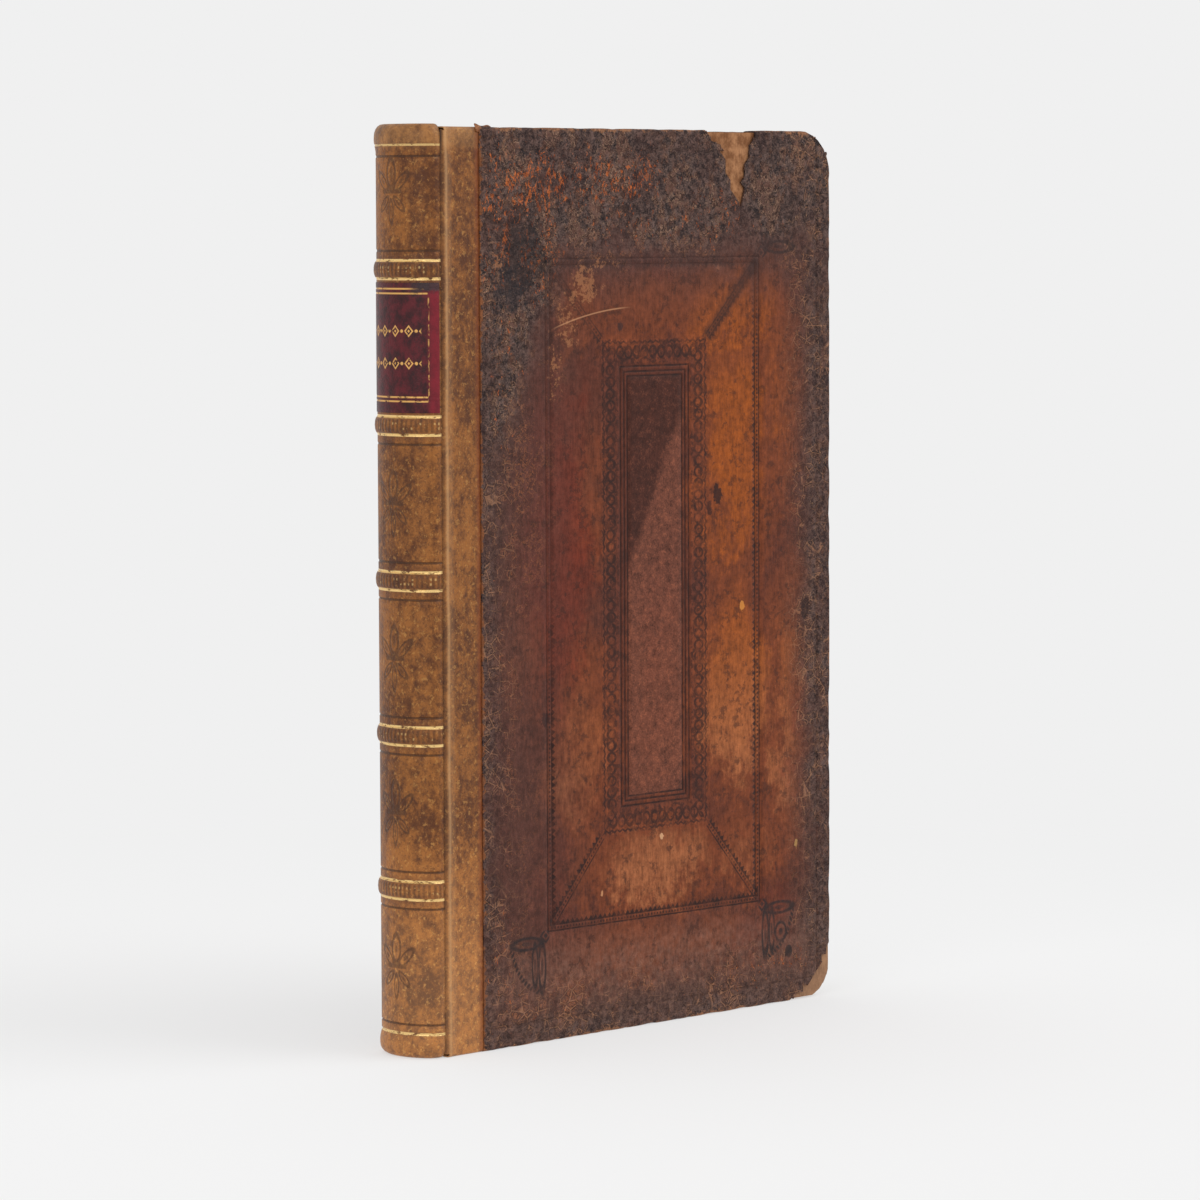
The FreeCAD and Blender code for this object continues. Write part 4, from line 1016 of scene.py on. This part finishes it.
def is_pressed(x, y, z):
    """Whether a vertex of the lattice lies on one of the tooled lines."""
    side = min(x - FRAME_LEFT, FRAME_RIGHT - x)
    end = min(z - FRAME_LOW, FRAME_HIGH - z)
    gap = min(side, end)
    roll_in = ROLL_END + (ROLL_DROP if z < (FRAME_LOW + FRAME_HIGH) / 2 else 0.0)
    roll = min(side - ROLL_SIDE, end - roll_in) - ROLL_WIDTH
    edge = min(COVER_REACH - x, z, BOOK_HEIGHT - z)
    on_frame = min(abs(gap - line) for line in FRAME_LINES) < 0.13
    on_panel = min(abs(roll - line) for line in PANEL_LINES) < 0.13
    return 1.0 if on_frame or on_panel or abs(edge - EDGE_RULE) < 0.18 else 0.0


def trim(piece, spot, normal, keep_faces):
    """Cuts the faces that a rule picks along a plane, and takes off what is beyond it."""
    pick(piece, "FACE", keep_faces)
    bpy.ops.mesh.bisect(plane_co=place(spot[0], 0, spot[1]), plane_no=(normal[0], 0, normal[1]),
                        clear_outer=True)
    leave_edit_mode()


def round_corner(piece, radius, way):
    """Rubs a fore-edge corner round with a fan of trimming planes."""
    centre = COVER_REACH - radius, BOOK_HEIGHT - radius if way > 0 else radius
    planes = 7
    for index in range(planes):
        angle = math.pi / 2 * (index + 0.5) / planes
        normal = math.cos(angle), way * math.sin(angle)
        spot = centre[0] + radius * normal[0], centre[1] + radius * normal[1]
        trim(piece, spot, normal, lambda p: p[0] > centre[0] - 2 and way * (p[2] - centre[1]) > -2)


def within(outline, x, z):
    """Whether a point lies inside an outline, by counting the sides it would cross."""
    inside = False
    for (x0, z0), (x1, z1) in zip(outline, outline[1:] + outline[:1]):
        if (z0 > z) != (z1 > z) and x < x0 + (z - z0) * (x1 - x0) / (z1 - z0):
            inside = not inside
    return inside


def tear_away(piece, outline):
    """Cuts along each side of an outline and deletes the faces inside it."""
    low_x, high_x = min(x for x, _ in outline), max(x for x, _ in outline)
    for (x0, z0), (x1, z1) in zip(outline, outline[1:]):
        low_z, high_z = sorted((z0, z1))
        pick(piece, "FACE", lambda p: low_x - 1 < p[0] < high_x + 1 and low_z - 2 < p[2] < high_z + 2)
        bpy.ops.mesh.bisect(plane_co=place(x0, 0, z0), plane_no=(z1 - z0, 0, x0 - x1))
        leave_edit_mode()
    pick(piece, "FACE", lambda p: within(outline, p[0], p[2]))
    bpy.ops.mesh.delete(type="FACE")
    leave_edit_mode()


def lies_on_outline(x, z, tail_is_bare):
    """Whether an edge's middle is on the head, the tail, the fore edge or a rounded corner."""
    if z < 0.01 or z > BOOK_HEIGHT - 0.01 or x > COVER_REACH - 0.01:
        return True
    corners = (TOP_CORNER, BOOK_HEIGHT - TOP_CORNER, 1), (TAIL_CORNER, TAIL_CORNER, -1)
    for radius, centre_z, way in corners:
        dx, dz = x - (COVER_REACH - radius), way * (z - centre_z)
        if dx > 0 and dz > 0 and math.hypot(dx, dz) > radius - 0.1 and not (tail_is_bare and way < 0):
            return True
    return False


def edge_wear(x, y, z):
    """How far the leather has sunk and worn at the board's edges, in soft uneven dents."""
    edge = min(COVER_REACH - x, z, BOOK_HEIGHT - z)
    if edge > 3.0:
        return 0.0
    dents = noise.noise(Vector((x / 5.0, z / 5.0, 3.0)))
    dents += 0.5 * noise.noise(Vector((x / 2.0, z / 2.2, 9.0)))
    return min(1.0, max(0.0, dents * 1.3 + 0.15)) * min(1.0, (3.0 - edge) / 1.5)


def cover_calf(name, side, finish, torn):
    columns = rows(STRIP_EDGE, COVER_REACH, 1.6, column_cuts)
    path = [(x, side * OUTER_FACE) for x in columns]
    calf = draw_skin(f"{name}_cover_calf", path, rows(0.0, BOOK_HEIGHT, 1.6, row_cuts))
    press(calf, "lines", is_pressed, side * -0.14, "Y")
    round_corner(calf, TOP_CORNER, 1)
    if torn:
        tear_away(calf, TEAR)
        tear_away(calf, BARE_CORNER + [(123.5, 13.4), (123.5, -0.2)])
    else:
        round_corner(calf, TAIL_CORNER, -1)
    pick(calf, "EDGE", lambda p: lies_on_outline(p[0], p[2], torn))
    grow((0, -side * (OUTER_FACE - COVER_BACK), 0))
    shrink = 1 - TURN_IN / (COVER_REACH - STRIP_EDGE), 1, 1 - 2 * TURN_IN / BOOK_HEIGHT
    grow((0, 0, 0), shrink, (STRIP_EDGE, 0, BOOK_HEIGHT / 2))
    bpy.ops.mesh.select_all(action="DESELECT")
    bpy.ops.mesh.select_mode(type="EDGE")
    bpy.ops.mesh.edges_select_sharp(sharpness=math.radians(60))
    bpy.ops.mesh.bevel(offset=0.7 * MM, segments=3, affect="EDGES", clamp_overlap=False)
    bpy.ops.mesh.select_all(action="SELECT")
    bpy.ops.mesh.remove_doubles(threshold=0.01 * MM)
    leave_edit_mode()
    face_outwards(calf, place(66, side * (OUTER_FACE - 1.9), BOOK_HEIGHT / 2))
    press(calf, "wear", edge_wear, -0.22)
    apply_modifier(calf, "SOLIDIFY", thickness=0.4 * MM, offset=-1.0)
    smooth(calf, 40)
    calf.data.materials.append(finish)
    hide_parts(f"{name}_leather")
    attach(calf, f"{name}_cover")
    return calf


def torn_layer_finish():
    finish = Finish("torn_layer")
    fibre = finish.cloud((0.35, 0.35, 1.6), 1, detail=5.0, rough=0.75)
    tone = finish.cloud(3.0, 2, detail=5.0, rough=0.7)
    finish.colour = finish.mix(tone.ramp(0.36, 0.64), paint(122, 80, 52), paint(168, 120, 84))
    finish.lay(finish.up.ramp(20.0, 12.0) * 0.6, paint(152, 120, 96))
    finish.deepen(1.0 + (fibre - 0.5) * 1.1)
    relief = finish.bump(fibre, 0.14)
    return finish.set(roughness=0.92, normal=relief, specular=0.12)


def fibre_height(x, y, z):
    return 0.5 + 0.5 * noise.noise(Vector((x / 1.1, z / 2.4, 5.0)))


def torn_layer():
    """The split layer of leather left under the torn patch and the bare corner."""
    depth = FRONT * (OUTER_FACE - 0.46)
    patches = []
    for low_x, high_x, low_z, high_z in ((78.5, 100.0, 179.5, 199.5), (106.5, 122.1, 0.4, 15.5)):
        path = [(x, depth) for x in rows(low_x, high_x, 0.6)]
        patches.append(draw_skin(f"patch_{int(low_x)}", path, rows(low_z, high_z, 0.6)))
    round_corner(patches[1], TAIL_CORNER, -1)
    take_up(patches[0])
    patches[1].select_set(True)
    bpy.ops.object.join()
    layer = bpy.context.object
    layer.name = "front_torn_layer"
    face_outwards(layer, place(90, 0, 100))
    press(layer, "fibres", fibre_height, -0.16)
    apply_modifier(layer, "SOLIDIFY", thickness=0.25 * MM, offset=-1.0)
    smooth(layer, 60)
    layer.data.materials.append(torn_layer_finish())
    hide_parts("front_leather")
    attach(layer, "front_cover")


CURL_PATH = [(9.6, -9.3), (10.4, -9.42), (11.2, -9.38), (12.0, -9.46), (12.9, -9.40), (13.8, -9.44),
             (14.8, -9.3)]


def free_height(z):
    """How far a point of the curl stands out past where it comes loose."""
    return max(0.0, z - 199.7)


def curl_wear(x, y, z):
    return free_height(z) * (0.4 + noise.noise(Vector((x * 1.4, 0, 1))))


def head_curl(finish):
    """A thin lip of old leather that has come loose and curled up at the head, by the joint."""
    curl = draw_skin("head_curl", CURL_PATH, [198.9, 199.4, 199.9, 200.2, 200.5, 200.8])
    press(curl, "lean", lambda x, y, z: free_height(z) / 1.2, 0.5, "Y")
    press(curl, "ragged", curl_wear, -1.1, "Z")
    apply_modifier(curl, "SUBSURF", levels=2)
    apply_modifier(curl, "SOLIDIFY", thickness=0.18 * MM, offset=0.0)
    smooth(curl, 60)
    curl.data.materials.append(finish)
    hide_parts("front_leather")
    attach(curl, "front_cover")


torn_layer()
head_curl(front_calf_finish)
front_calf = cover_calf("front", FRONT, front_calf_finish, torn=True)
back_calf = cover_calf("back", BACK, back_calf_finish, torn=False)
for calf in (front_calf, back_calf):
    print(calf.name, len(calf.data.polygons), "faces")

# %% [markdown]
# ## The title label
# A thin dark red leather label is pasted in the second space from the head. Two rows of small
# gilt lozenges decorate it, between gilt lines.

# %% Label
LABEL_LOW, LABEL_HIGH = (corner[2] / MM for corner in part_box("title_label"))
LABEL_INSET = 1.3
LABEL_LINES = (LABEL_LOW + 2.5, LABEL_LOW + 3.4, LABEL_HIGH - 1.3, LABEL_HIGH - 2.3)
LOZENGE_ROWS, LOZENGE_STEP = (LABEL_HIGH - 10.3, LABEL_HIGH - 17.2), 3.4


def label_finish():
    finish = Finish("label_calf")
    girth, up = finish.attribute("girth"), finish.up
    mottle = finish.cloud((2.0, 2.0, 2.6), 1, detail=5.0, rough=0.7)
    finish.colour = finish.mix(mottle.ramp(0.36, 0.66), paint(48, 12, 17), paint(92, 22, 30))
    rim = girth.ramp(3.2, 1.4)
    finish.lay(rim * (0.3 + mottle * 0.6), paint(136, 26, 42))
    uneven = (finish.cloud(1.6, 4, detail=4.0) - 0.5) * 3.0
    dark = (up + uneven).ramp(LABEL_HIGH - 2.6, LABEL_HIGH - 1.4) * girth.ramp(8.0, 4.0)
    finish.lay(dark * 0.85, paint(58, 50, 52))
    gold = strongest(up.near(level, 0.36, 0.06) for level in LABEL_LINES) * girth.ramp(2.4, 2.8)
    upright = girth.near(2.4, 0.3, 0.06) * up.ramp(LABEL_LOW + 2.4, LABEL_LOW + 2.6)
    upright = upright * up.ramp(LABEL_HIGH - 3.0, LABEL_HIGH - 3.4)
    upright = upright * finish.cloud((0.8, 0.8, 2.2), 12, detail=3.0).ramp(0.47, 0.56) * 0.7

    def lozenge_row(level):
        from_middle = girth.repeat(LOZENGE_STEP)
        lozenge = from_middle * 0.9 + (up - level).size() * 0.75
        dot = finish.radius(from_middle - LOZENGE_STEP / 2, up - level).ramp(0.42, 0.3)
        return lozenge.near(0.8, 0.34, 0.08).most(dot).most(lozenge.ramp(0.32, 0.2))

    rows_gold = strongest(lozenge_row(level) for level in LOZENGE_ROWS)
    rows_gold = rows_gold * girth.ramp(3.8, 4.2) * girth.ramp(LABEL_GIRTH - 3.8, LABEL_GIRTH - 4.2)
    rubbed = finish.cloud((1.4, 1.4, 1.0), 9, detail=4.0, rough=0.7).ramp(0.64, 0.54)
    gold = gold.most(rows_gold).most(upright) * rubbed * (1.0 - dark)
    finish.lay(gold * 0.95, paint(224, 172, 100))
    cracks = finish.cells(0.8, 3).ramp(0.0, 0.14)
    height = cracks * (0.3 + dark * 0.7) + finish.cloud(0.4, 7) * 0.6 - gold * 0.3
    relief = finish.bump(height, 0.07)
    return finish.set(roughness=0.42 + dark * 0.2, metallic=gold * 0.6, normal=relief, specular=0.28)


label_path = arch_path(SPINE_HALF + 0.55, SPINE_RISE + 0.8, SPINE_CORNER + 0.55)
label_path = [spot for spot in label_path if spot[0] < -LABEL_INSET]
LABEL_GIRTH = lengths(label_path)[-1]
label_cuts = []
for level in LABEL_LINES:
    label_cuts += line_cuts(level, 0.4)
label = draw_skin("spine_label", label_path, rows(LABEL_LOW, LABEL_HIGH, 0.9, label_cuts))
note_girth(label, label_path)
face_outwards(label, SPINE_INSIDE)


def label_lines(x, y, z):
    return 1.0 if min(abs(z - level) for level in LABEL_LINES) < 0.15 else 0.0


press(label, "lines", label_lines, -0.07)
apply_modifier(label, "SOLIDIFY", thickness=0.28 * MM, offset=-1.0)
apply_modifier(label, "BEVEL", width=0.1 * MM, segments=2, limit_method="ANGLE")
smooth(label, 40)
label.data.materials.append(label_finish())
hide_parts("title_label")
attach(label, "book_block")
print("label", round(LABEL_HIGH - LABEL_LOW, 1), "mm high")

# %% [markdown]
# ## The pages
# The leaves are drawn one by one, as thin sheets that fan out at the shoulders and end in the
# hollow of the fore edge, each a little longer or shorter than its neighbour. That gives the
# edges of the book block their real grain without a texture.

# %% Pages
LEAVES = 64
rng = random.Random(7)
BLOCK_LOW, BLOCK_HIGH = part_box("text_block")
PAGE_TAIL, PAGE_HEAD = BLOCK_LOW[2] / MM, BLOCK_HIGH[2] / MM
PAGE_END = (BLOCK_HIGH[0] - HINGE_X) / MM
PAGE_HALF = 5.25
BACK_HALF, BACK_RISE, BACK_CORNER = 8.2, 5.0, 3.2
FORE_HOLLOW = 2.5


def page_finish():
    finish = Finish("page_paper")
    through = finish.through
    tone = finish.cloud(22.0, 1, detail=4.0)
    finish.colour = finish.mix(tone.ramp(0.25, 0.85), paint(216, 199, 165), paint(190, 166, 128))
    foxing = finish.cloud(1.7, 3, detail=3.0).ramp(0.68, 0.76)
    finish.lay(foxing * 0.5, paint(150, 104, 66))
    inset = (PAGE_END - finish.across).least(finish.up - PAGE_TAIL).least(PAGE_HEAD - finish.up)
    brown = (inset + (tone - 0.5) * 6.0).ramp(7.0, 0.2)
    finish.lay(brown * 0.6, paint(150, 116, 80))
    leaf_lines = finish.cloud((900.0, 0.22, 40.0), 5, detail=3.0).ramp(0.40, 0.62)
    at_edge = inset.ramp(0.5, 0.2)
    finish.lay(at_edge * leaf_lines * 0.65, paint(98, 72, 50))
    relief = finish.bump(finish.cloud(0.5, 7, detail=3.0), 0.03)
    return finish.set(roughness=0.85, normal=relief, specular=0.2)


def back_depth(share):
    """How far the rounded back stands out at a share of the way through the book."""
    y = abs(share) * BACK_HALF
    arch = arch_path(BACK_HALF, BACK_RISE, BACK_CORNER, 12, 40)
    return min(arch, key=lambda spot: abs(abs(spot[1]) - y))[0]


leaves = []
for index in range(LEAVES):
    share = (index + 0.5) / LEAVES * 2 - 1
    y = share * (PAGE_HALF - 0.06)
    fan = share * (BACK_HALF - 0.1)
    depth = back_depth(share)
    hollow = FORE_HOLLOW * (1 - share**2)
    end = PAGE_END - hollow - rng.uniform(0.0, 0.22)
    path = [(depth + 0.05, fan), (depth * 0.35 - 0.1, fan * 0.985), (0.15, y + (fan - y) * 0.10),
            (1.6, y), (end, y)]
    low, high = PAGE_TAIL + rng.uniform(0.0, 0.12), PAGE_HEAD - rng.uniform(0.0, 0.12)
    leaf = draw_skin(f"leaf_{index}", path, [low, high])
    leaves.append(leaf)
take_up(leaves[0])
for leaf in leaves:
    leaf.select_set(True)
bpy.ops.object.join()
pages = bpy.context.object
pages.name = "page_leaves"
apply_modifier(pages, "SOLIDIFY", thickness=0.15 * MM, offset=0.0)
pages.data.materials.append(page_finish())
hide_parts("text_block")
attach(pages, "book_block")
print(LEAVES, "leaves,", len(pages.data.polygons), "faces")

# %% [markdown]
# ## The endbands
# An endband is a cord wound with coloured thread. One turn of thread is modelled as a small ring
# and copied along the curve of the back, and two colours alternate.

# %% Endbands
ENDBAND_INSET, ENDBAND_RADIUS, THREAD = 1.9, 0.85, 0.2


def thread_finish(name, low, high):
    finish = Finish(name)
    tone = finish.cloud(0.6, 2, detail=3.0)
    finish.colour = finish.mix(tone.ramp(0.35, 0.65), low, high)
    relief = finish.bump(finish.cloud((0.08, 0.3, 0.3), 3), 0.03)
    return finish.set(roughness=0.6, normal=relief, specular=0.3)


thread_finishes = [
    thread_finish("thread_straw", paint(176, 146, 96), paint(214, 188, 136)),
    thread_finish("thread_red", paint(110, 34, 30), paint(150, 56, 44)),
]
endband_arch = (size - ENDBAND_INSET for size in (SPINE_HALF, SPINE_RISE, SPINE_CORNER))
endband_path = arch_path(*endband_arch, 8, 24)


def along_path(path, distance):
    """The point and the heading at a distance along a path."""
    for here, there, start in zip(path, path[1:], lengths(path)):
        step = math.dist(here, there)
        if distance <= start + step:
            share = (distance - start) / step
            heading = math.atan2(there[1] - here[1], there[0] - here[0])
            x, y = (low + (high - low) * share for low, high in zip(here, there))
            return x, y, heading
    return *path[-1], heading


def endband(name, z):
    bpy.ops.object.select_all(action="DESELECT")
    turns = []
    length, pitch = lengths(endband_path)[-1], 0.34
    count = int(length / pitch)
    for index in range(count):
        x, y, heading = along_path(endband_path, (index + 0.5) * length / count)
        bpy.ops.mesh.primitive_torus_add(
            major_radius=(ENDBAND_RADIUS - THREAD) * MM, minor_radius=THREAD * MM,
            major_segments=14, minor_segments=6,
            location=place(x, y, z), rotation=(0, math.pi / 2, heading),
        )
        turn = bpy.context.object
        turn.data.materials.append(thread_finishes[(index // 2) % 2])
        turns.append(turn)
    take_up(turns[0])
    for turn in turns:
        turn.select_set(True)
    bpy.ops.object.join()
    piece = bpy.context.object
    piece.name = f"{name}_sewing"
    bpy.ops.object.transform_apply(location=True, rotation=True, scale=True)
    smooth(piece, 60)
    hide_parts(name)
    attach(piece, "book_block")
    print(piece.name, count, "turns of thread")


leave_edit_mode()
endband("head_endband", PAGE_HEAD + ENDBAND_RADIUS + 0.05)
endband("tail_endband", PAGE_TAIL - ENDBAND_RADIUS - 0.05)

# %% [markdown]
# ## Board, paper and cord
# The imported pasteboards, pastedowns, linings and cords have the right shapes already, so they
# stay and only get their finishes. The pasteboard is rubbed and fibrous where the leather is lost.

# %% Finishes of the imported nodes


def board_finish():
    finish = Finish("pasteboard_fibre")
    fibre = finish.cloud((0.4, 0.4, 1.2), 1, detail=5.0, rough=0.7)
    tone = finish.cloud(4.0, 2, detail=4.0)
    light = (fibre * 0.6 + tone * 0.4).ramp(0.38, 0.62)
    finish.colour = finish.mix(light, paint(126, 84, 56), paint(178, 128, 90))
    finish.lay(finish.cloud(2.4, 5).ramp(0.58, 0.68) * 0.5, paint(98, 62, 44))
    relief = finish.bump(fibre, 0.12)
    return finish.set(roughness=0.9, normal=relief, specular=0.15)


def paper_finish(name, stain):
    finish = Finish(name)
    tone = finish.cloud(18.0, 1, detail=4.0)
    finish.colour = finish.mix(tone.ramp(0.25, 0.85), paint(214, 197, 163), paint(186, 160, 122))
    foxing = finish.cloud(1.6, 3, detail=3.0).ramp(0.66, 0.75)
    finish.lay(foxing * 0.55, paint(146, 100, 62))
    if stain:
        inset = (COVER_REACH - finish.across).least(finish.up).least(BOOK_HEIGHT - finish.up)
        offset = (inset + (tone - 0.5) * 5.0).ramp(18.0, 10.0)
        finish.lay(offset * 0.55, paint(138, 98, 64))
    laid = finish.up.repeat(1.1).ramp(0.0, 0.5) * 0.2
    relief = finish.bump(finish.cloud(0.5, 7, detail=3.0) + laid, 0.03)
    return finish.set(roughness=0.88, normal=relief, specular=0.15)


def cord_finish():
    finish = Finish("hemp_strands")
    strand = (finish.across * 2.2 + finish.up * 3.1 + finish.through * 2.2).wave()
    tone = finish.cloud(0.7, 2, detail=3.0)
    finish.colour = finish.mix(tone.ramp(0.35, 0.65), paint(150, 120, 78), paint(196, 168, 120))
    relief = finish.bump(strand * 0.5 + tone, 0.1)
    return finish.set(roughness=0.85, normal=relief, specular=0.2)


def dress(node, finish):
    """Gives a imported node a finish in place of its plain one."""
    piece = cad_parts[node]
    for index in range(len(piece.data.materials)):
        piece.data.materials[index] = finish


pasteboard, pastedown = board_finish(), paper_finish("pastedown_paper", stain=True)
lining, hemp = paper_finish("lining_paper", stain=False), cord_finish()
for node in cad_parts:
    if node.endswith("_board"):
        dress(node, pasteboard)
    elif node.endswith("_pastedown"):
        dress(node, pastedown)
    elif node.startswith("spine_lining"):
        dress(node, lining)
    elif "cord" in node:
        dress(node, hemp)

# %% [markdown]
# ## Floor, light and camera
# The book stands on a plain pale floor that fades into a background of the same grey, so no
# horizon shows. The light is large and soft. The camera is long and stands where the
# photograph's was, which was worked out from the cover's corners.

# %% Floor
BACKDROP = paint(240, 240, 240)


def floor_finish():
    finish = Finish("pale_floor")
    finish.shader.inputs["Base Color"].default_value = paint(249, 249, 249)
    finish.shader.inputs["Roughness"].default_value = 0.9
    finish.shader.inputs["Specular IOR Level"].default_value = 0.1
    glow = finish.add("ShaderNodeEmission")
    glow.inputs["Color"].default_value = BACKDROP
    blend = finish.add("ShaderNodeMixShader")
    away = finish.radius(finish.across, finish.through)
    finish.feed(blend.inputs[0], away.ramp(120.0, 420.0, 0.6, 1.0))
    finish.tree.links.new(finish.shader.outputs[0], blend.inputs[1])
    finish.tree.links.new(glow.outputs[0], blend.inputs[2])
    output = finish.tree.nodes["Material Output"]
    finish.tree.links.new(blend.outputs[0], output.inputs["Surface"])
    return finish.material


leave_edit_mode()
bpy.ops.object.select_all(action="DESELECT")
bpy.ops.mesh.primitive_plane_add(size=12.0, location=(0, 0, -0.00002))
floor = bpy.context.object
floor.name = "floor"
floor.data.materials.append(floor_finish())

# %% Light
scene = bpy.context.scene
scene.view_settings.view_transform = "Standard"
world = bpy.data.worlds.new("studio")
scene.world = world
world.use_nodes = True
tree = world.node_tree
tree.nodes.clear()
output = tree.nodes.new("ShaderNodeOutputWorld")
seen = tree.nodes.new("ShaderNodeLightPath")
backdrop = tree.nodes.new("ShaderNodeBackground")
backdrop.inputs["Color"].default_value = BACKDROP
ambient = tree.nodes.new("ShaderNodeBackground")
ambient.inputs["Color"].default_value = (1.0, 1.0, 1.0, 1.0)
ambient.inputs["Strength"].default_value = 0.78
choice = tree.nodes.new("ShaderNodeMixShader")
direct = seen.outputs["Is Camera Ray"]
for kind in ("Is Glossy Ray", "Is Transmission Ray"):
    both = tree.nodes.new("ShaderNodeMath")
    both.operation, both.use_clamp = "ADD", True
    tree.links.new(direct, both.inputs[0])
    tree.links.new(seen.outputs[kind], both.inputs[1])
    direct = both.outputs[0]
tree.links.new(direct, choice.inputs[0])
tree.links.new(ambient.outputs[0], choice.inputs[1])
tree.links.new(backdrop.outputs[0], choice.inputs[2])
tree.links.new(choice.outputs[0], output.inputs["Surface"])


def soft_light(name, spot, target, size, watts):
    bpy.ops.object.light_add(type="AREA", location=spot)
    lamp = bpy.context.object
    lamp.name = name
    lamp.data.size = size
    lamp.data.energy = watts
    heading = Vector(target) - Vector(spot)
    lamp.rotation_euler = heading.to_track_quat("-Z", "Y").to_euler()


soft_light("key_light", (0.9, -1.2, 1.5), (0, 0, 0.1), 1.5, 14.0)
soft_light("side_light", (-1.5, -0.6, 0.8), (0, 0, 0.1), 0.9, 4.0)

# %% Camera
AZIMUTH, ELEVATION, ROLL = (math.radians(angle) for angle in (-45.21, 4.40, -0.22))
CAMERA_SPOT = Vector((-0.7917, -0.7845, 0.181))
back = Vector((math.sin(AZIMUTH) * math.cos(ELEVATION), -math.cos(AZIMUTH) * math.cos(ELEVATION),
               math.sin(ELEVATION)))
right = Vector((math.cos(AZIMUTH), math.sin(AZIMUTH), 0.0))
up = back.cross(right)
turned_right = right * math.cos(ROLL) + up * math.sin(ROLL)
turned_up = up * math.cos(ROLL) - right * math.sin(ROLL)
lens = bpy.data.cameras.new("long_lens")
lens.lens = 150.0
lens.sensor_width = 36.0
camera = bpy.data.objects.new("camera", lens)
scene.collection.objects.link(camera)
turned = Matrix((turned_right, turned_up, back)).transposed().to_4x4()
camera.matrix_world = Matrix.Translation(CAMERA_SPOT) @ turned
scene.camera = camera
